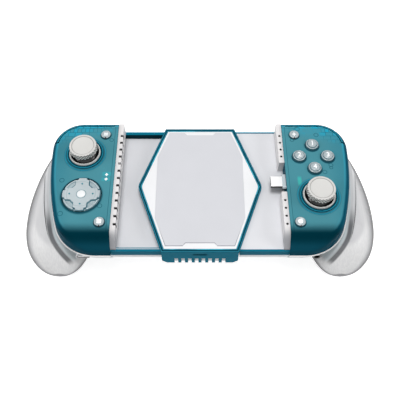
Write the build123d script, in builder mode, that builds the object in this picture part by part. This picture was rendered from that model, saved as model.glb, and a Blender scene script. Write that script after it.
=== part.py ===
from build123d import *
from math import atan, ceil, cos, floor, pi, radians, sin, sqrt, tan
import os

os.makedirs("parts", exist_ok=True)

# The controller lies on the backs of its grips, face up. X runs along the phone, Y away from
# the player, Z out of the face. X = Y = 0 is the middle of the bridge.

# Levels, counted up from the surface that the grips rest on
rest_height = 36.0
face_rise = 9.0
seam_drop = 4.5
shell_drop = 13.0
face_z = rest_height + face_rise
seam_z = rest_height - seam_drop
shell_floor_z = rest_height - shell_drop

# Clearances and walls
run_gap = 0.3
slide_gap = 0.2
pin_gap = 0.05
overrun = 5.0
shell_wall = 1.6
inside_top_z = face_z - shell_wall

# Half width of the telescopic arms; the modules and the bridge follow it
arm_half_width = 45.0

# Module outline, the same for both hands
module_inner_x = 53.9
module_outer_x = 97.2
module_top_margin = 1.6
module_low_margin = 1.4
module_top_y = arm_half_width + module_top_margin
module_bottom_y = -arm_half_width - module_low_margin
top_corner_radius = 20.5
chin_corner_radius = 27.3
side_lean = radians(16.23)
shell_draft = 6.0
face_edge_radius = 5.0
chin_length = 13.4
chin_start_y = module_bottom_y + chin_length
chin_radius = 11.0
chin_angle = 52.0

# Telescopic arms
arm_top_drop = 1.5
arm_seam_drop = 6.7
arm_bottom_drop = 9.3
arm_web = 0.6
arm_base = 1.0
rail_width = 2.5
rim_width = 1.3
tray_reach = 22.0
right_arm_start = 24.0
arm_tab_depth = 4.0
arm_tab_margin = 7.0
arm_tab_half_width = arm_half_width - arm_tab_margin
slide_travel = 40.0
tray_panel_thickness = 0.4
arm_top_z = rest_height - arm_top_drop
arm_seam_z = rest_height - arm_seam_drop
arm_bottom_z = rest_height - arm_bottom_drop
arm_web_top_z = arm_seam_z + arm_web
lane_floor_z = arm_bottom_z + arm_base
tray_panel_top_z = arm_web_top_z + tray_panel_thickness

# Bridge
bridge_flat_half = 23.3
bridge_tip_half = 39.8
bridge_tip_radius = 8.0
bridge_plate_thickness = 1.3
bridge_drop = 14.5
bridge_floor = 1.2
bridge_bottom_z = rest_height - bridge_drop
bridge_inside_z = bridge_bottom_z + bridge_floor
bridge_side_wall = 1.2
bridge_side_inner_y = arm_half_width + slide_gap
bridge_half_height = bridge_side_inner_y + bridge_side_wall


def module_outline(sign, level, grow):
    """Plan of one module: straight beside the phone, bowed and rounded on the outside."""
    arc_top_y = module_top_y - top_corner_radius
    side_rise = arc_top_y - module_bottom_y - chin_corner_radius
    bow = chin_corner_radius + side_rise / sin(side_lean)
    bow_x = module_outer_x - bow
    bow_end = (bow_x + bow * cos(side_lean), arc_top_y - bow * sin(side_lean))
    bow_mid = (bow_x + bow * cos(side_lean / 2), arc_top_y - bow * sin(side_lean / 2))
    chin_x = bow_end[0] - chin_corner_radius * cos(side_lean)
    chin_y = bow_end[1] + chin_corner_radius * sin(side_lean)
    chin_turn = (side_lean + pi / 2) / 2
    chin_mid_x = chin_x + chin_corner_radius * cos(chin_turn)
    chin_mid_y = chin_y - chin_corner_radius * sin(chin_turn)
    top_x = module_outer_x - top_corner_radius
    top_turn = pi / 4
    top_mid_x = top_x + top_corner_radius * sin(top_turn)
    top_mid_y = arc_top_y + top_corner_radius * cos(top_turn)
    inside_x = module_inner_x - overrun
    with BuildSketch(Plane.XY.offset(level)) as outline:
        with BuildLine():
            Line((sign * inside_x, module_top_y), (sign * top_x, module_top_y))
            ThreePointArc(
                (sign * top_x, module_top_y),
                (sign * top_mid_x, top_mid_y),
                (sign * module_outer_x, arc_top_y),
            )
            ThreePointArc(
                (sign * module_outer_x, arc_top_y),
                (sign * bow_mid[0], bow_mid[1]),
                (sign * bow_end[0], bow_end[1]),
            )
            ThreePointArc(
                (sign * bow_end[0], bow_end[1]),
                (sign * chin_mid_x, chin_mid_y),
                (sign * chin_x, module_bottom_y),
            )
            Line((sign * chin_x, module_bottom_y), (sign * inside_x, module_bottom_y))
            Line((sign * inside_x, module_bottom_y), (sign * inside_x, module_top_y))
        make_face()
        if grow:
            offset(amount=grow, kind=Kind.INTERSECTION)
    return outline.sketch


def chin_profile(offset_x, inset, bottom_z):
    """Side view of the face: flat, then rolling over into the sloping chin."""
    turn = radians(chin_angle)
    radius = chin_radius - inset
    top_z = face_z - inset
    turn_z = face_z - chin_radius
    roll_mid = (chin_start_y - radius * sin(turn / 2), turn_z + radius * cos(turn / 2))
    roll_end = (chin_start_y - radius * sin(turn), turn_z + radius * cos(turn))
    slope_end_y = roll_end[0] - (roll_end[1] - bottom_z) / tan(turn)
    with BuildSketch(Plane.YZ.offset(offset_x)) as profile:
        with BuildLine():
            Line((module_top_y + overrun, top_z), (chin_start_y, top_z))
            ThreePointArc((chin_start_y, top_z), roll_mid, roll_end)
            Line(roll_end, (slope_end_y, bottom_z))
            Line((slope_end_y, bottom_z), (module_top_y + overrun, bottom_z))
            Line((module_top_y + overrun, bottom_z), (module_top_y + overrun, top_z))
        make_face()
    return profile.sketch


# How straight across an edge has to run to count as square on
square_on = 0.999


def is_outer_edge(edge, inset):
    """True for the edges between the face or the chin and the outer sides."""
    low = min((edge @ 0).Z, (edge @ 1).Z)
    inside = max(abs((edge @ 0).X), abs((edge @ 1).X)) < module_inner_x + inset + pin_gap
    across = abs((edge % 0.5).X) > square_on
    middle_y = edge.center().Y
    at_end = middle_y > module_top_y - overrun or middle_y < module_bottom_y + overrun / 2 + inset
    return low > seam_z + overrun / 5 and not inside and (at_end or not across)


def left_face_form(inset):
    """Outer form of the left front shell, or its hollow when it is inset by the wall."""
    with BuildPart() as form:
        extrude(module_outline(-1, seam_z, -inset), amount=face_rise + seam_drop, taper=shell_draft)
        low = (-2 * module_outer_x, -module_outer_x, 0)
        high = (-module_inner_x - inset, module_outer_x, face_z + face_z)
        add(box_between(low, high), mode=Mode.INTERSECT)
        extrude(chin_profile(0, inset, seam_z - overrun), amount=-module_outer_x, mode=Mode.INTERSECT)
        rounded = form.edges().filter_by(lambda edge: is_outer_edge(edge, inset))
        fillet(rounded, radius=face_edge_radius - inset)
    return form.part


def front_form(sign, inset):
    """Face form for either hand; the right one mirrors the left one."""
    form = left_face_form(inset)
    return form if sign < 0 else mirror(form, about=Plane.YZ)


def lobe_form(sign, inset):
    """Grip lobe: rounded sections strung along the hand, or its hollow when it is inset."""
    middle_y = (grip_top_y + grip_low_y) / 2
    squeeze = 1 - 2 * inset / (grip_top_y - grip_low_y)
    sections = []
    for along, centre_x, half_x, centre_z, half_z in grip_station_shares:
        station_y = middle_y + (grip_low_y + along * (grip_top_y - grip_low_y) - middle_y) * squeeze
        spot = (sign * centre_x * grip_reach, station_y, centre_z * grip_centre_height)
        # normal along Y, so that the section's own x axis runs along X and its y axis up
        plane = Plane(origin=spot, x_dir=(1, 0, 0), z_dir=(0, -1, 0))
        with BuildSketch(plane) as section:
            Ellipse(half_x * grip_half_width - inset, half_z * grip_half_depth - inset)
        sections.append(section.sketch)
    with BuildPart() as lobe:
        loft(sections)
    return lobe.part


def tray_form(sign, grow, depth, inset):
    """Shallow tray behind the face: drafted sides, straight beside the phone."""
    with BuildPart() as tray:
        extrude(module_outline(-1, seam_z, grow), amount=-depth, taper=back_draft)
        low = (-2 * module_outer_x, -module_outer_x, 0)
        high = (-module_inner_x - inset, module_outer_x, face_z + face_z)
        add(box_between(low, high), mode=Mode.INTERSECT)
    return tray.part if sign < 0 else mirror(tray.part, about=Plane.YZ)


def box_between(low, high):
    """Block between two opposite corners."""
    centre = [(a + b) / 2 for a, b in zip(low, high)]
    size = [abs(b - a) for a, b in zip(low, high)]
    with BuildPart() as block:
        with Locations(tuple(centre)):
            Box(*size)
    return block.part


def peg(centre, radius, low_z, high_z):
    """Upright round post or hole."""
    with BuildPart() as post:
        with BuildSketch(Plane.XY.offset(low_z)):
            with Locations(centre):
                Circle(radius)
        extrude(amount=high_z - low_z)
    return post.part


def strip_form(sign, depth, inner_end_x, outer_end_y, low_z):
    """Zone of the bumper: a band along the top edge and round the outer corner."""
    with BuildPart() as band:
        extrude(module_outline(sign, low_z, overrun), amount=face_z + overrun - low_z)
        core = module_outline(sign, low_z, -depth)
        extrude(core, amount=face_z + overrun - low_z, mode=Mode.SUBTRACT)
        with BuildSketch(Plane.XY.offset(low_z)) as keep:
            with Locations((sign * inner_end_x, outer_end_y)):
                Rectangle(
                    module_outer_x,
                    module_outer_x,
                    align=(Align.MIN if sign > 0 else Align.MAX, Align.MIN),
                )
        extrude(keep.sketch, amount=face_z + overrun - low_z, mode=Mode.INTERSECT)
    return band.part


def bridge_outline(level, grow):
    """Hexagon with rounded side tips."""
    with BuildSketch(Plane.XY.offset(level)) as outline:
        with BuildLine():
            Polyline(
                (bridge_flat_half, bridge_half_height),
                (bridge_tip_half, 0),
                (bridge_flat_half, -bridge_half_height),
                (-bridge_flat_half, -bridge_half_height),
                (-bridge_tip_half, 0),
                (-bridge_flat_half, bridge_half_height),
                close=True,
            )
        make_face()
        tips = outline.vertices().filter_by(lambda v: abs(v.X) > bridge_flat_half + pin_gap)
        fillet(tips, bridge_tip_radius)
        if grow:
            offset(amount=grow, kind=Kind.INTERSECTION)
    return outline.sketch


# Grip lobes: each station gives, as shares, the place along the hand, the centre across, the
# half width, the centre height and the half depth
grip_reach = 91.0
grip_half_width = 22.0
grip_half_depth = 15.8
grip_centre_height = 15.3
grip_low_reach = 5.1
grip_top_margin = 9.6
grip_low_y = module_bottom_y - grip_low_reach
grip_top_y = module_top_y - grip_top_margin
grip_wall = 2.0
grip_station_shares = [
    (0.0, 0.967, 0.137, 0.901, 0.141),
    (0.012, 0.970, 0.317, 0.884, 0.243),
    (0.035, 0.976, 0.461, 0.872, 0.412),
    (0.07, 0.982, 0.608, 0.870, 0.609),
    (0.12, 0.988, 0.757, 0.890, 0.791),
    (0.19, 0.990, 0.897, 0.945, 0.901),
    (0.27, 0.994, 0.971, 0.989, 0.959),
    (0.36, 1.0, 0.994, 1.0, 1.001),
    (0.46, 1.0, 1.005, 1.001, 1.003),
    (0.56, 1.004, 0.963, 1.0, 0.994),
    (0.66, 1.009, 0.878, 1.021, 0.981),
    (0.76, 1.007, 0.775, 1.101, 0.919),
    (0.85, 1.003, 0.638, 1.268, 0.729),
    (0.93, 0.999, 0.472, 1.499, 0.438),
    (1.0, 1.002, 0.319, 1.634, 0.285),
]
rim_width_out = 0.8
back_wall = 1.8
back_draft = 22.0
ledge_drop = 3.7
ledge_width = 5.2
inside_floor_z = shell_floor_z + shell_wall

# Screws, bosses and boards
screw_outer_x = 83.7
screw_outer_y = -25.6
screw_inner_x = 62.6
screw_inner_rise = 8.2
screw_top_x = 86.1
screw_top_drop = 14.6
screw_places = [
    (screw_outer_x, screw_outer_y),
    (screw_inner_x, module_bottom_y + screw_inner_rise),
    (screw_top_x, module_top_y - screw_top_drop),
]
board_rise = 0.8
board_low_z = rest_height + board_rise
board_thickness = 1.2
board_top_z = board_low_z + board_thickness
board_margin = 6.0
board_inner_x = 59.0
board_low_margin = 12.4
board_low_y = module_bottom_y + board_low_margin
board_stick_gap = 1.1
board_plug_x = 64.0
board_plug_half = 10.0
boss_radius = 3.3
front_boss_radius = 2.2
screw_radius = 0.9
screw_head_radius = 1.9
screw_head_height = 1.6
screw_well_radius = 2.1
screw_seat_drop = 10.0
screw_seat_z = rest_height - screw_seat_drop
screw_length = 15.5

# Sticks
left_stick_x = -73.7
left_stick_y = 19.1
right_stick_x = 73.0
right_stick_y = -12.5
stick_places = {"left": (left_stick_x, left_stick_y), "right": (right_stick_x, right_stick_y)}
stick_pivot_rise = 2.0
stick_pivot_z = rest_height + stick_pivot_rise
stick_dome_radius = 10.8
stick_dome_wall = 1.0
stick_cap_radius = 8.9
stick_cap_rise = 6.0
stick_cap_bottom_z = face_z + stick_cap_rise
stick_cap_height = 3.6
stick_dish_radius = 7.0
stick_dish_depth = 0.7
stick_stem_radius = 2.2
stick_pin_radius = 0.7
stick_hub_radius = 1.7
stick_ring_inner = 8.95
stick_ring_outer = 9.85
stick_ring_height = 2.2
stick_collar_radius = 11.5
stick_collar_height = 1.0
stick_halo_radius = 13.0
stick_halo_height = 0.3
stick_hole_radius = 8.9
stick_hole_flare = 0.85
stick_case_half = 6.5
stick_case_wall = 1.0
stick_case_top = 1.5
stick_case_depth = 6.8
stick_flange_half = 9.0
stick_flange_thickness = 1.2
stick_flange_low_z = stick_pivot_z - stick_case_depth - stick_flange_thickness
stick_dome_skirt = 2.8
stick_shaft_engage = 1.5
stick_cap_edge = 0.6
stick_cap_hub_radius = 4.0
stick_cap_hub_drop = 1.6
stick_cap_hub_low_z = stick_cap_bottom_z - stick_cap_hub_drop
stick_boss_offset = 7.2
yoke_half = 4.8
yoke_wall = 1.4
yoke_half_height = 1.2
stick_journal_radius = 0.9
knurl_count = 40
knurl_radius = 0.3

# D-pad
dpad_x = -72.9
dpad_y = -11.6
dpad_place = (dpad_x, dpad_y)
dpad_radius = 11.95
dpad_hole_radius = 12.4
dpad_sink = 1.05
dpad_bottom_z = face_z - dpad_sink
dpad_disc_thickness = 1.6
dpad_arm_rise = 1.0
dpad_arm_width = 8.4
dpad_dot_radius = 2.6
dpad_dot_depth = 0.3
dpad_mark_radius = 0.6
dpad_mark_distance = 7.2
dpad_notch_width = 0.9
dpad_pivot_radius = 3.5
dpad_pivot_thickness = 1.4
dpad_pivot_low_z = dpad_bottom_z - run_gap - dpad_pivot_thickness
dpad_post_distance = 8.0
dpad_post_radius = 1.8
dpad_post_gap = 1.15
dpad_arm_draft = 8.0

# Round buttons
menu_upper_x = 61.7
menu_upper_drop = 12.2
left_menu_lower_x = -60.2
right_menu_lower_x = 59.9
menu_lower_rise = 15.7
menu_upper_y = module_top_y - menu_upper_drop
menu_lower_y = module_bottom_y + menu_lower_rise
menu_places = {
    "left": {"upper": (-menu_upper_x, menu_upper_y), "lower": (left_menu_lower_x, menu_lower_y)},
    "right": {"upper": (menu_upper_x, menu_upper_y), "lower": (right_menu_lower_x, menu_lower_y)},
}
menu_radius = 3.2
menu_rise = 1.0
menu_travel = 0.5
action_x = 72.6
action_y = 17.1
action_spread = 9.1
action_radius = 4.25
action_rise = 2.2
action_crown = 0.8
action_travel = 1.0
button_flange = 0.75
button_flange_thickness = 1.0
button_hole_gap = 0.25
button_edge = 0.4
membrane_thickness = 0.8
membrane_margin = 0.9
membrane_post_radius = 2.2
membrane_strip_x = 60.4
membrane_strip_width = 2.4
press_reserve = 0.2

# Bumpers and triggers
bumper_depth = 4.5
bumper_inner_x = 56.8
bumper_outer_drop = 17.8
bumper_outer_y = module_top_y - bumper_outer_drop
bumper_side_gap = 0.7
bumper_end_gap = 0.9
bumper_pivot_x = 59.6
bumper_pivot_drop = 5.6
bumper_pivot = (bumper_pivot_x, module_top_y - bumper_pivot_drop)
bumper_lug_half = 2.3
bumper_lug_thickness = 2.0
bumper_lug_rise = 0.5
bumper_lug_z = rest_height + bumper_lug_rise
bumper_pin_radius = 1.2
trigger_inner_x = 64.2
trigger_width = 17.0
trigger_slot_gap = 0.5
trigger_pivot_margin = 6.6
trigger_pivot_drop = 8.5
trigger_pivot_y = module_top_y - trigger_pivot_margin
trigger_pivot_z = rest_height - trigger_pivot_drop
trigger_eye_radius = 2.6
trigger_pin_radius = 1.5
trigger_pin_length = 1.8
trigger_reach = 11.5
trigger_drop = 16.5
trigger_bracket_wall = 1.6
trigger_bracket_half = 2.6
trigger_spring_outer = 2.5
trigger_spring_inner = 1.9
trigger_spring_room = 4.0
trigger_spring_foot = 5.0
trigger_nose_shares = [(0.52, 0.19), (0.89, 0.06), (1.0, -0.24)]
trigger_front_shares = [(0.96, -0.67), (0.65, -1.0)]
trigger_tip_shares = [(0.53, -1.0), (0.48, -0.92)]
trigger_back_shares = [(0.64, -0.58), (0.57, -0.2)]

# Phone pads
pad_thickness = 3.4
pad_inset = 1.0
pad_end_margin = 2.2
pad_top_y = module_top_y - pad_end_margin
pad_low_y = module_bottom_y + pad_end_margin
pad_notch_count = 13
pad_notch_pitch = 5.5
pad_notch_first_y = 34.4
pad_notch_width = 1.7
pad_notch_reach = 1.8
pad_notch_depth = 5.0
pad_hole_radius = 0.8
pad_upper_end_y = 13.0
pad_lower_start_y = -8.7
pad_upper_hole_first_y = 34.4
pad_lower_hole_first_y = -14.8
pad_hole_count = 4

# Phone plug, audio socket and charging socket
plug_y = 0.4
plug_rise = 4.7
plug_z = rest_height + plug_rise
plug_width = 8.25
plug_height = 2.4
plug_wall = 0.3
plug_tip_x = 44.6
plug_hollow_depth = 6.0
holder_face_x = 51.7
holder_pivot_x = 60.0
holder_back_x = 61.6
holder_half_width = 5.4
holder_half_height = 1.7
holder_pin_radius = 1.2
holder_pin_length = 1.6
holder_post_half = 1.8
holder_room = 1.1
holder_corner = 1.2
plug_bay_room = 0.5
socket_x = 71.4
socket_drop = 8.8
socket_z = rest_height - socket_drop
jack_bore_radius = 1.8
jack_bore_depth = 11.0
jack_nose_radius = 2.9
jack_half_width = 3.2
jack_length = 12.5
jack_nose_length = 6.2
jack_face_inset = 1.2
jack_face_y = module_bottom_y + jack_face_inset
charge_width = 8.94
charge_height = 3.16
charge_wall = 0.3
charge_depth = 7.3
charge_tongue_width = 6.7
charge_tongue_height = 0.7
socket_gap = 0.1

# Indicator windows
window_x = -58.7
window_upper_y = 3.3
window_lower_y = -0.1
window_places = [(window_x, window_upper_y), (window_x, window_lower_y)]
window_size = 1.7
window_depth = 2.0

# Rack and pinion
gear_module = 1.0
gear_teeth = 14
pressure_angle = radians(25.0)
gear_pitch_radius = gear_module * gear_teeth / 2
gear_addendum = 0.9
gear_dedendum = 1.15
gear_backlash = 0.16
gear_low_z = lane_floor_z + slide_gap
gear_high_z = arm_seam_z - slide_gap
rack_back_y = 17.0
rack_tip_x = 50.0
rack_root_x = 53.0
rack_root_length = 7.0
rack_tooth_first_x = -9.0
rack_tooth_last_x = 48.0
hub_radius = 3.4
hub_bottom_z = bridge_inside_z + slide_gap
axle_radius = 1.5
axle_sink = 0.8
notch_half = 4.4
notch_start_x = -5.0
spring_inner_radius = 4.0
spring_pitch = 1.1
spring_thickness = 0.4
spring_half_turns = 9
spring_low_z = bridge_inside_z + slide_gap
spring_height = 2.4
spring_case_wall = 1.0
spring_case_gap = 0.3

# Bridge details
bridge_ring_width = 2.3
bridge_ledge_width = 0.8
bridge_ledge_thickness = 0.4
bridge_groove_inset = 0.9
bridge_groove_width = 0.5
bridge_groove_depth = 0.3
bridge_plate_drop = 0.1
pad_recess = 0.4
bridge_pad_border = 1.27
bridge_pad_top_margin = 3.2
bridge_pad_low_margin = 4.2
bridge_pad_side_y = 22.8
bridge_pad_top_y = bridge_half_height - bridge_pad_top_margin
bridge_pad_low_y = bridge_half_height - bridge_pad_low_margin
bridge_tab_half_wide = 10.6
bridge_tab_half_narrow = 8.7
bridge_tab_depth = 2.0
skirt_corner = 2.9
vent_count = 8
vent_width = 2.25
vent_pitch = 4.15
vent_height = 6.0
latch_half = 4.0
latch_height = 1.6
latch_depth = 0.6
latch_drop = 3.4
snap_half = 18.0
snap_height = 1.0
snap_depth = 0.5
snap_rise = 2.6
cover_inset = 1.5
cover_wall = 1.5
panel_rib = 1.6
panel_top = 1.2
panel_pockets_x = 4
panel_pockets_y = 4
tongue_low_z = tray_panel_top_z + run_gap


# Bridge frame: hexagonal ring with two long side walls that end in a vented skirt
with BuildPart() as bridge_frame:
    extrude(bridge_outline(rest_height, 0), amount=-bridge_plate_thickness)
    extrude(
        bridge_outline(rest_height, -bridge_ring_width - bridge_ledge_width),
        amount=-bridge_plate_thickness,
        mode=Mode.SUBTRACT,
    )
    extrude(
        bridge_outline(rest_height, -bridge_ring_width),
        amount=bridge_ledge_thickness - bridge_plate_thickness,
        mode=Mode.SUBTRACT,
    )
    groove_out = bridge_outline(rest_height, -bridge_groove_inset)
    groove_in = bridge_outline(rest_height, -bridge_groove_inset - bridge_groove_width)
    extrude(groove_out, amount=-bridge_groove_depth, mode=Mode.SUBTRACT)
    extrude(groove_in, amount=-bridge_groove_depth)
    extrude(
        bridge_outline(rest_height, -bridge_ring_width),
        amount=bridge_ledge_thickness - bridge_plate_thickness,
        mode=Mode.SUBTRACT,
    )
    for end in (-1, 1):
        with BuildSketch(Plane.XZ.offset(-end * bridge_side_inner_y)):
            with BuildLine():
                Polyline(
                    (bridge_flat_half, rest_height - bridge_plate_thickness),
                    (bridge_flat_half, bridge_bottom_z + skirt_corner),
                    (bridge_flat_half - skirt_corner, bridge_bottom_z),
                    (skirt_corner - bridge_flat_half, bridge_bottom_z),
                    (-bridge_flat_half, bridge_bottom_z + skirt_corner),
                    (-bridge_flat_half, rest_height - bridge_plate_thickness),
                    close=True,
                )
            make_face()
        extrude(amount=-end * (bridge_half_height - bridge_side_inner_y))
    with Locations((0, -bridge_half_height, bridge_bottom_z)):
        with GridLocations(vent_pitch, bridge_half_height, vent_count, 1):
            Box(vent_width, overrun, vent_height + vent_height, mode=Mode.SUBTRACT)
    with Locations((0, -bridge_half_height, rest_height - latch_drop)):
        Box(2 * latch_half, 2 * latch_depth, latch_height, mode=Mode.SUBTRACT)
    with Locations((0, 0, bridge_inside_z + snap_rise)):
        Box(
            2 * (snap_half + slide_gap),
            2 * (bridge_side_inner_y + snap_depth),
            snap_height + slide_gap,
            mode=Mode.SUBTRACT,
        )
bridge_frame.part.label = "bridge_frame"
export_step(bridge_frame.part, "parts/bridge_frame.step")


# White plate inside the ring, with a shallow bed for the soft pad
plate_top_z = rest_height - bridge_plate_drop
plate_low_z = rest_height - bridge_plate_thickness + bridge_ledge_thickness


def pad_edge_x(height):
    """Half width of the soft pad at a height, one border inside the ring's slanted side."""
    lean = (bridge_tip_half - bridge_flat_half) / bridge_half_height
    stretch = sqrt(1 + lean ** 2)
    return bridge_tip_half - lean * height - stretch * (bridge_ring_width + bridge_pad_border)


def pad_outline(level, grow):
    """Outline of the soft pad, with a tab notch at each end."""
    half_top = pad_edge_x(bridge_pad_top_y)
    half_side = pad_edge_x(bridge_pad_side_y)
    half_low = pad_edge_x(bridge_pad_low_y)
    with BuildSketch(Plane.XY.offset(level)) as outline:
        with BuildLine():
            Polyline(
                (half_top, bridge_pad_top_y),
                (half_side, bridge_pad_side_y),
                (half_side, -bridge_pad_side_y),
                (half_low, -bridge_pad_low_y),
                (bridge_tab_half_wide, -bridge_pad_low_y),
                (bridge_tab_half_narrow, bridge_tab_depth - bridge_pad_low_y),
                (-bridge_tab_half_narrow, bridge_tab_depth - bridge_pad_low_y),
                (-bridge_tab_half_wide, -bridge_pad_low_y),
                (-half_low, -bridge_pad_low_y),
                (-half_side, -bridge_pad_side_y),
                (-half_side, bridge_pad_side_y),
                (-half_top, bridge_pad_top_y),
                (-bridge_tab_half_wide, bridge_pad_top_y),
                (-bridge_tab_half_narrow, bridge_pad_top_y - bridge_tab_depth),
                (bridge_tab_half_narrow, bridge_pad_top_y - bridge_tab_depth),
                (bridge_tab_half_wide, bridge_pad_top_y),
                close=True,
            )
        make_face()
        if grow:
            offset(amount=grow, kind=Kind.INTERSECTION)
    return outline.sketch


with BuildPart() as bridge_plate:
    extrude(bridge_outline(plate_low_z, -bridge_ring_width - pin_gap), amount=plate_top_z - plate_low_z)
    extrude(pad_outline(plate_top_z, pin_gap), amount=-pad_recess, mode=Mode.SUBTRACT)
bridge_plate.part.label = "bridge_plate"
export_step(bridge_plate.part, "parts/bridge_plate.step")

# Soft grey pad that the phone's back rests on
with BuildPart() as bridge_pad:
    extrude(pad_outline(plate_top_z - pad_recess, 0), amount=pad_recess + bridge_plate_drop)
bridge_pad.part.label = "bridge_pad"
export_step(bridge_pad.part, "parts/bridge_pad.step")

# Bottom cover: a hexagonal tray that carries the axle and the spring, snapped between the walls
cover_top_z = arm_bottom_z - slide_gap
with BuildPart() as bridge_cover:
    extrude(bridge_outline(bridge_bottom_z, -cover_inset), amount=cover_top_z - bridge_bottom_z)
    with Locations((0, 0, cover_top_z)):
        Box(
            2 * bridge_tip_half,
            2 * (bridge_side_inner_y - pin_gap),
            2 * (cover_top_z - bridge_bottom_z),
            mode=Mode.INTERSECT,
        )
    cover_hollow = bridge_outline(bridge_inside_z, -cover_inset - cover_wall)
    extrude(cover_hollow, amount=bridge_drop, mode=Mode.SUBTRACT)
    wall_half = bridge_flat_half - skirt_corner
    for end in (-1, 1):
        low = (-wall_half, end * (bridge_side_inner_y - cover_wall + pin_gap), bridge_bottom_z)
        high = (wall_half, end * (bridge_side_inner_y - pin_gap), cover_top_z)
        add(box_between(low, high))
        snap_y = end * (bridge_side_inner_y + snap_depth / 2 - pin_gap)
        with Locations((0, snap_y, bridge_inside_z + snap_rise)):
            Box(2 * snap_half, snap_depth, snap_height - slide_gap)
    spring_room = spring_inner_radius + spring_pitch * (spring_half_turns + 1) / 2 + spring_case_gap
    with BuildSketch(Plane.XY.offset(bridge_inside_z)):
        Circle(spring_room + spring_case_wall)
        Circle(spring_room, mode=Mode.SUBTRACT)
    extrude(amount=spring_height)
    axle_low_z = bridge_inside_z - axle_sink
    add(peg((0, 0), axle_radius, axle_low_z, bridge_inside_z + axle_sink), mode=Mode.SUBTRACT)
bridge_cover.part.label = "bridge_cover"
export_step(bridge_cover.part, "parts/bridge_cover.step")

# Axle pin of the pinion, pressed into the cover
with BuildPart() as pinion_axle:
    with BuildSketch(Plane.XY.offset(bridge_inside_z - axle_sink)):
        Circle(axle_radius)
    extrude(amount=gear_high_z - bridge_inside_z + axle_sink)
pinion_axle.part.label = "pinion_axle"
export_step(pinion_axle.part, "parts/pinion_axle.step")


def half_turn_arcs(start_radius):
    """Spiral made of half circles, each one wider than the last by half a pitch."""
    radius = start_radius
    left_end = -start_radius
    for turn in range(spring_half_turns):
        above = 1 if turn % 2 == 0 else -1
        right_end = left_end + above * 2 * radius
        middle = (left_end + right_end) / 2
        ThreePointArc((left_end, 0), (middle, above * radius), (right_end, 0))
        left_end = right_end
        radius += spring_pitch / 2
    return left_end


# Flat spiral spring that pulls both halves together
with BuildPart() as spiral_spring:
    with BuildSketch(Plane.XY.offset(spring_low_z)):
        with BuildLine():
            outer_end = half_turn_arcs(spring_inner_radius + spring_thickness)
            inner_end = half_turn_arcs(spring_inner_radius)
            Line((-spring_inner_radius, 0), (-spring_inner_radius - spring_thickness, 0))
            Line((inner_end, 0), (outer_end, 0))
        make_face()
    extrude(amount=spring_height - slide_gap)
spiral_spring.part.label = "spiral_spring"
export_step(spiral_spring.part, "parts/spiral_spring.step")


# Pinion: involute gear on top, hub below, bored for the axle
base_radius = gear_pitch_radius * cos(pressure_angle)
tip_radius = gear_pitch_radius + gear_addendum
root_radius = gear_pitch_radius - gear_dedendum
pitch_roll = tan(pressure_angle)
tooth_half_width = (pi * gear_module / 2 - gear_backlash) / 2
half_tooth = tooth_half_width / gear_pitch_radius + pitch_roll - atan(pitch_roll)
flank = []
for step_share in (0.0, 0.35, 0.7, 1.0):
    radius = base_radius + step_share * (tip_radius - base_radius)
    roll = sqrt((radius / base_radius) ** 2 - 1)
    angle = roll - atan(roll) - half_tooth
    flank.append((radius * cos(angle), radius * sin(angle)))
mirrored = [(x, -y) for x, y in flank]
foot_x = root_radius * cos(half_tooth) / 2
with BuildSketch() as gear_tooth:
    with BuildLine():
        Spline(*flank)
        Line(flank[-1], mirrored[-1])
        Spline(*mirrored)
        Polyline(mirrored[0], (foot_x, mirrored[0][1]), (foot_x, flank[0][1]), flank[0])
    make_face()
with BuildPart() as pinion:
    with BuildSketch(Plane.XY.offset(gear_low_z)):
        Circle(root_radius)
        with PolarLocations(0, gear_teeth, start_angle=90):
            add(gear_tooth.sketch)
    extrude(amount=gear_high_z - gear_low_z)
    add(peg((0, 0), hub_radius, hub_bottom_z, gear_low_z))
    add(peg((0, 0), axle_radius + pin_gap, hub_bottom_z, gear_high_z), mode=Mode.SUBTRACT)
pinion.part.label = "pinion"
export_step(pinion.part, "parts/pinion.step")


def rack_outline(hand):
    """Toothed strip beside the pinion; the other hand is the same strip turned half round."""
    pitch = pi * gear_module
    slope = tan(pressure_angle)
    tooth_low = gear_pitch_radius - gear_addendum
    tooth_root = gear_pitch_radius + gear_dedendum
    root_half = pitch / 4 + gear_dedendum * slope
    crest_half = pitch / 4 - gear_addendum * slope
    first = ceil(rack_tooth_first_x / pitch)
    count = floor((rack_tooth_last_x - rack_tooth_first_x) / pitch)
    points = [(-rack_root_x, tooth_root)]
    for index in range(count):
        tooth_x = (first + index) * pitch + pitch / 2
        points.append((tooth_x - root_half, tooth_root))
        points.append((tooth_x - crest_half, tooth_low))
        points.append((tooth_x + crest_half, tooth_low))
        points.append((tooth_x + root_half, tooth_root))
    points.append((rack_tip_x, tooth_root))
    points.append((rack_tip_x, rack_back_y))
    points.append((-rack_root_x, rack_back_y))
    with BuildSketch(Plane.XY.offset(gear_low_z)) as outline:
        with BuildLine():
            Polyline(*[(-hand * x, -hand * y) for x, y in points], close=True)
        make_face()
    return outline.sketch


def trigger_point(shares):
    """Corner of the trigger's side view, from its shares of reach and drop."""
    return (trigger_pivot_y + shares[0] * trigger_reach, trigger_pivot_z + shares[1] * trigger_drop)


def lying_peg(centre, radius, half_length, across):
    """Round bar or hole that lies along X, or along Y when it runs across."""
    turn = (90, 0, 0) if across else (0, 90, 0)
    with BuildPart() as bar:
        with Locations(Location(centre, turn)):
            Cylinder(radius, 2 * half_length)
    return bar.part


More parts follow.
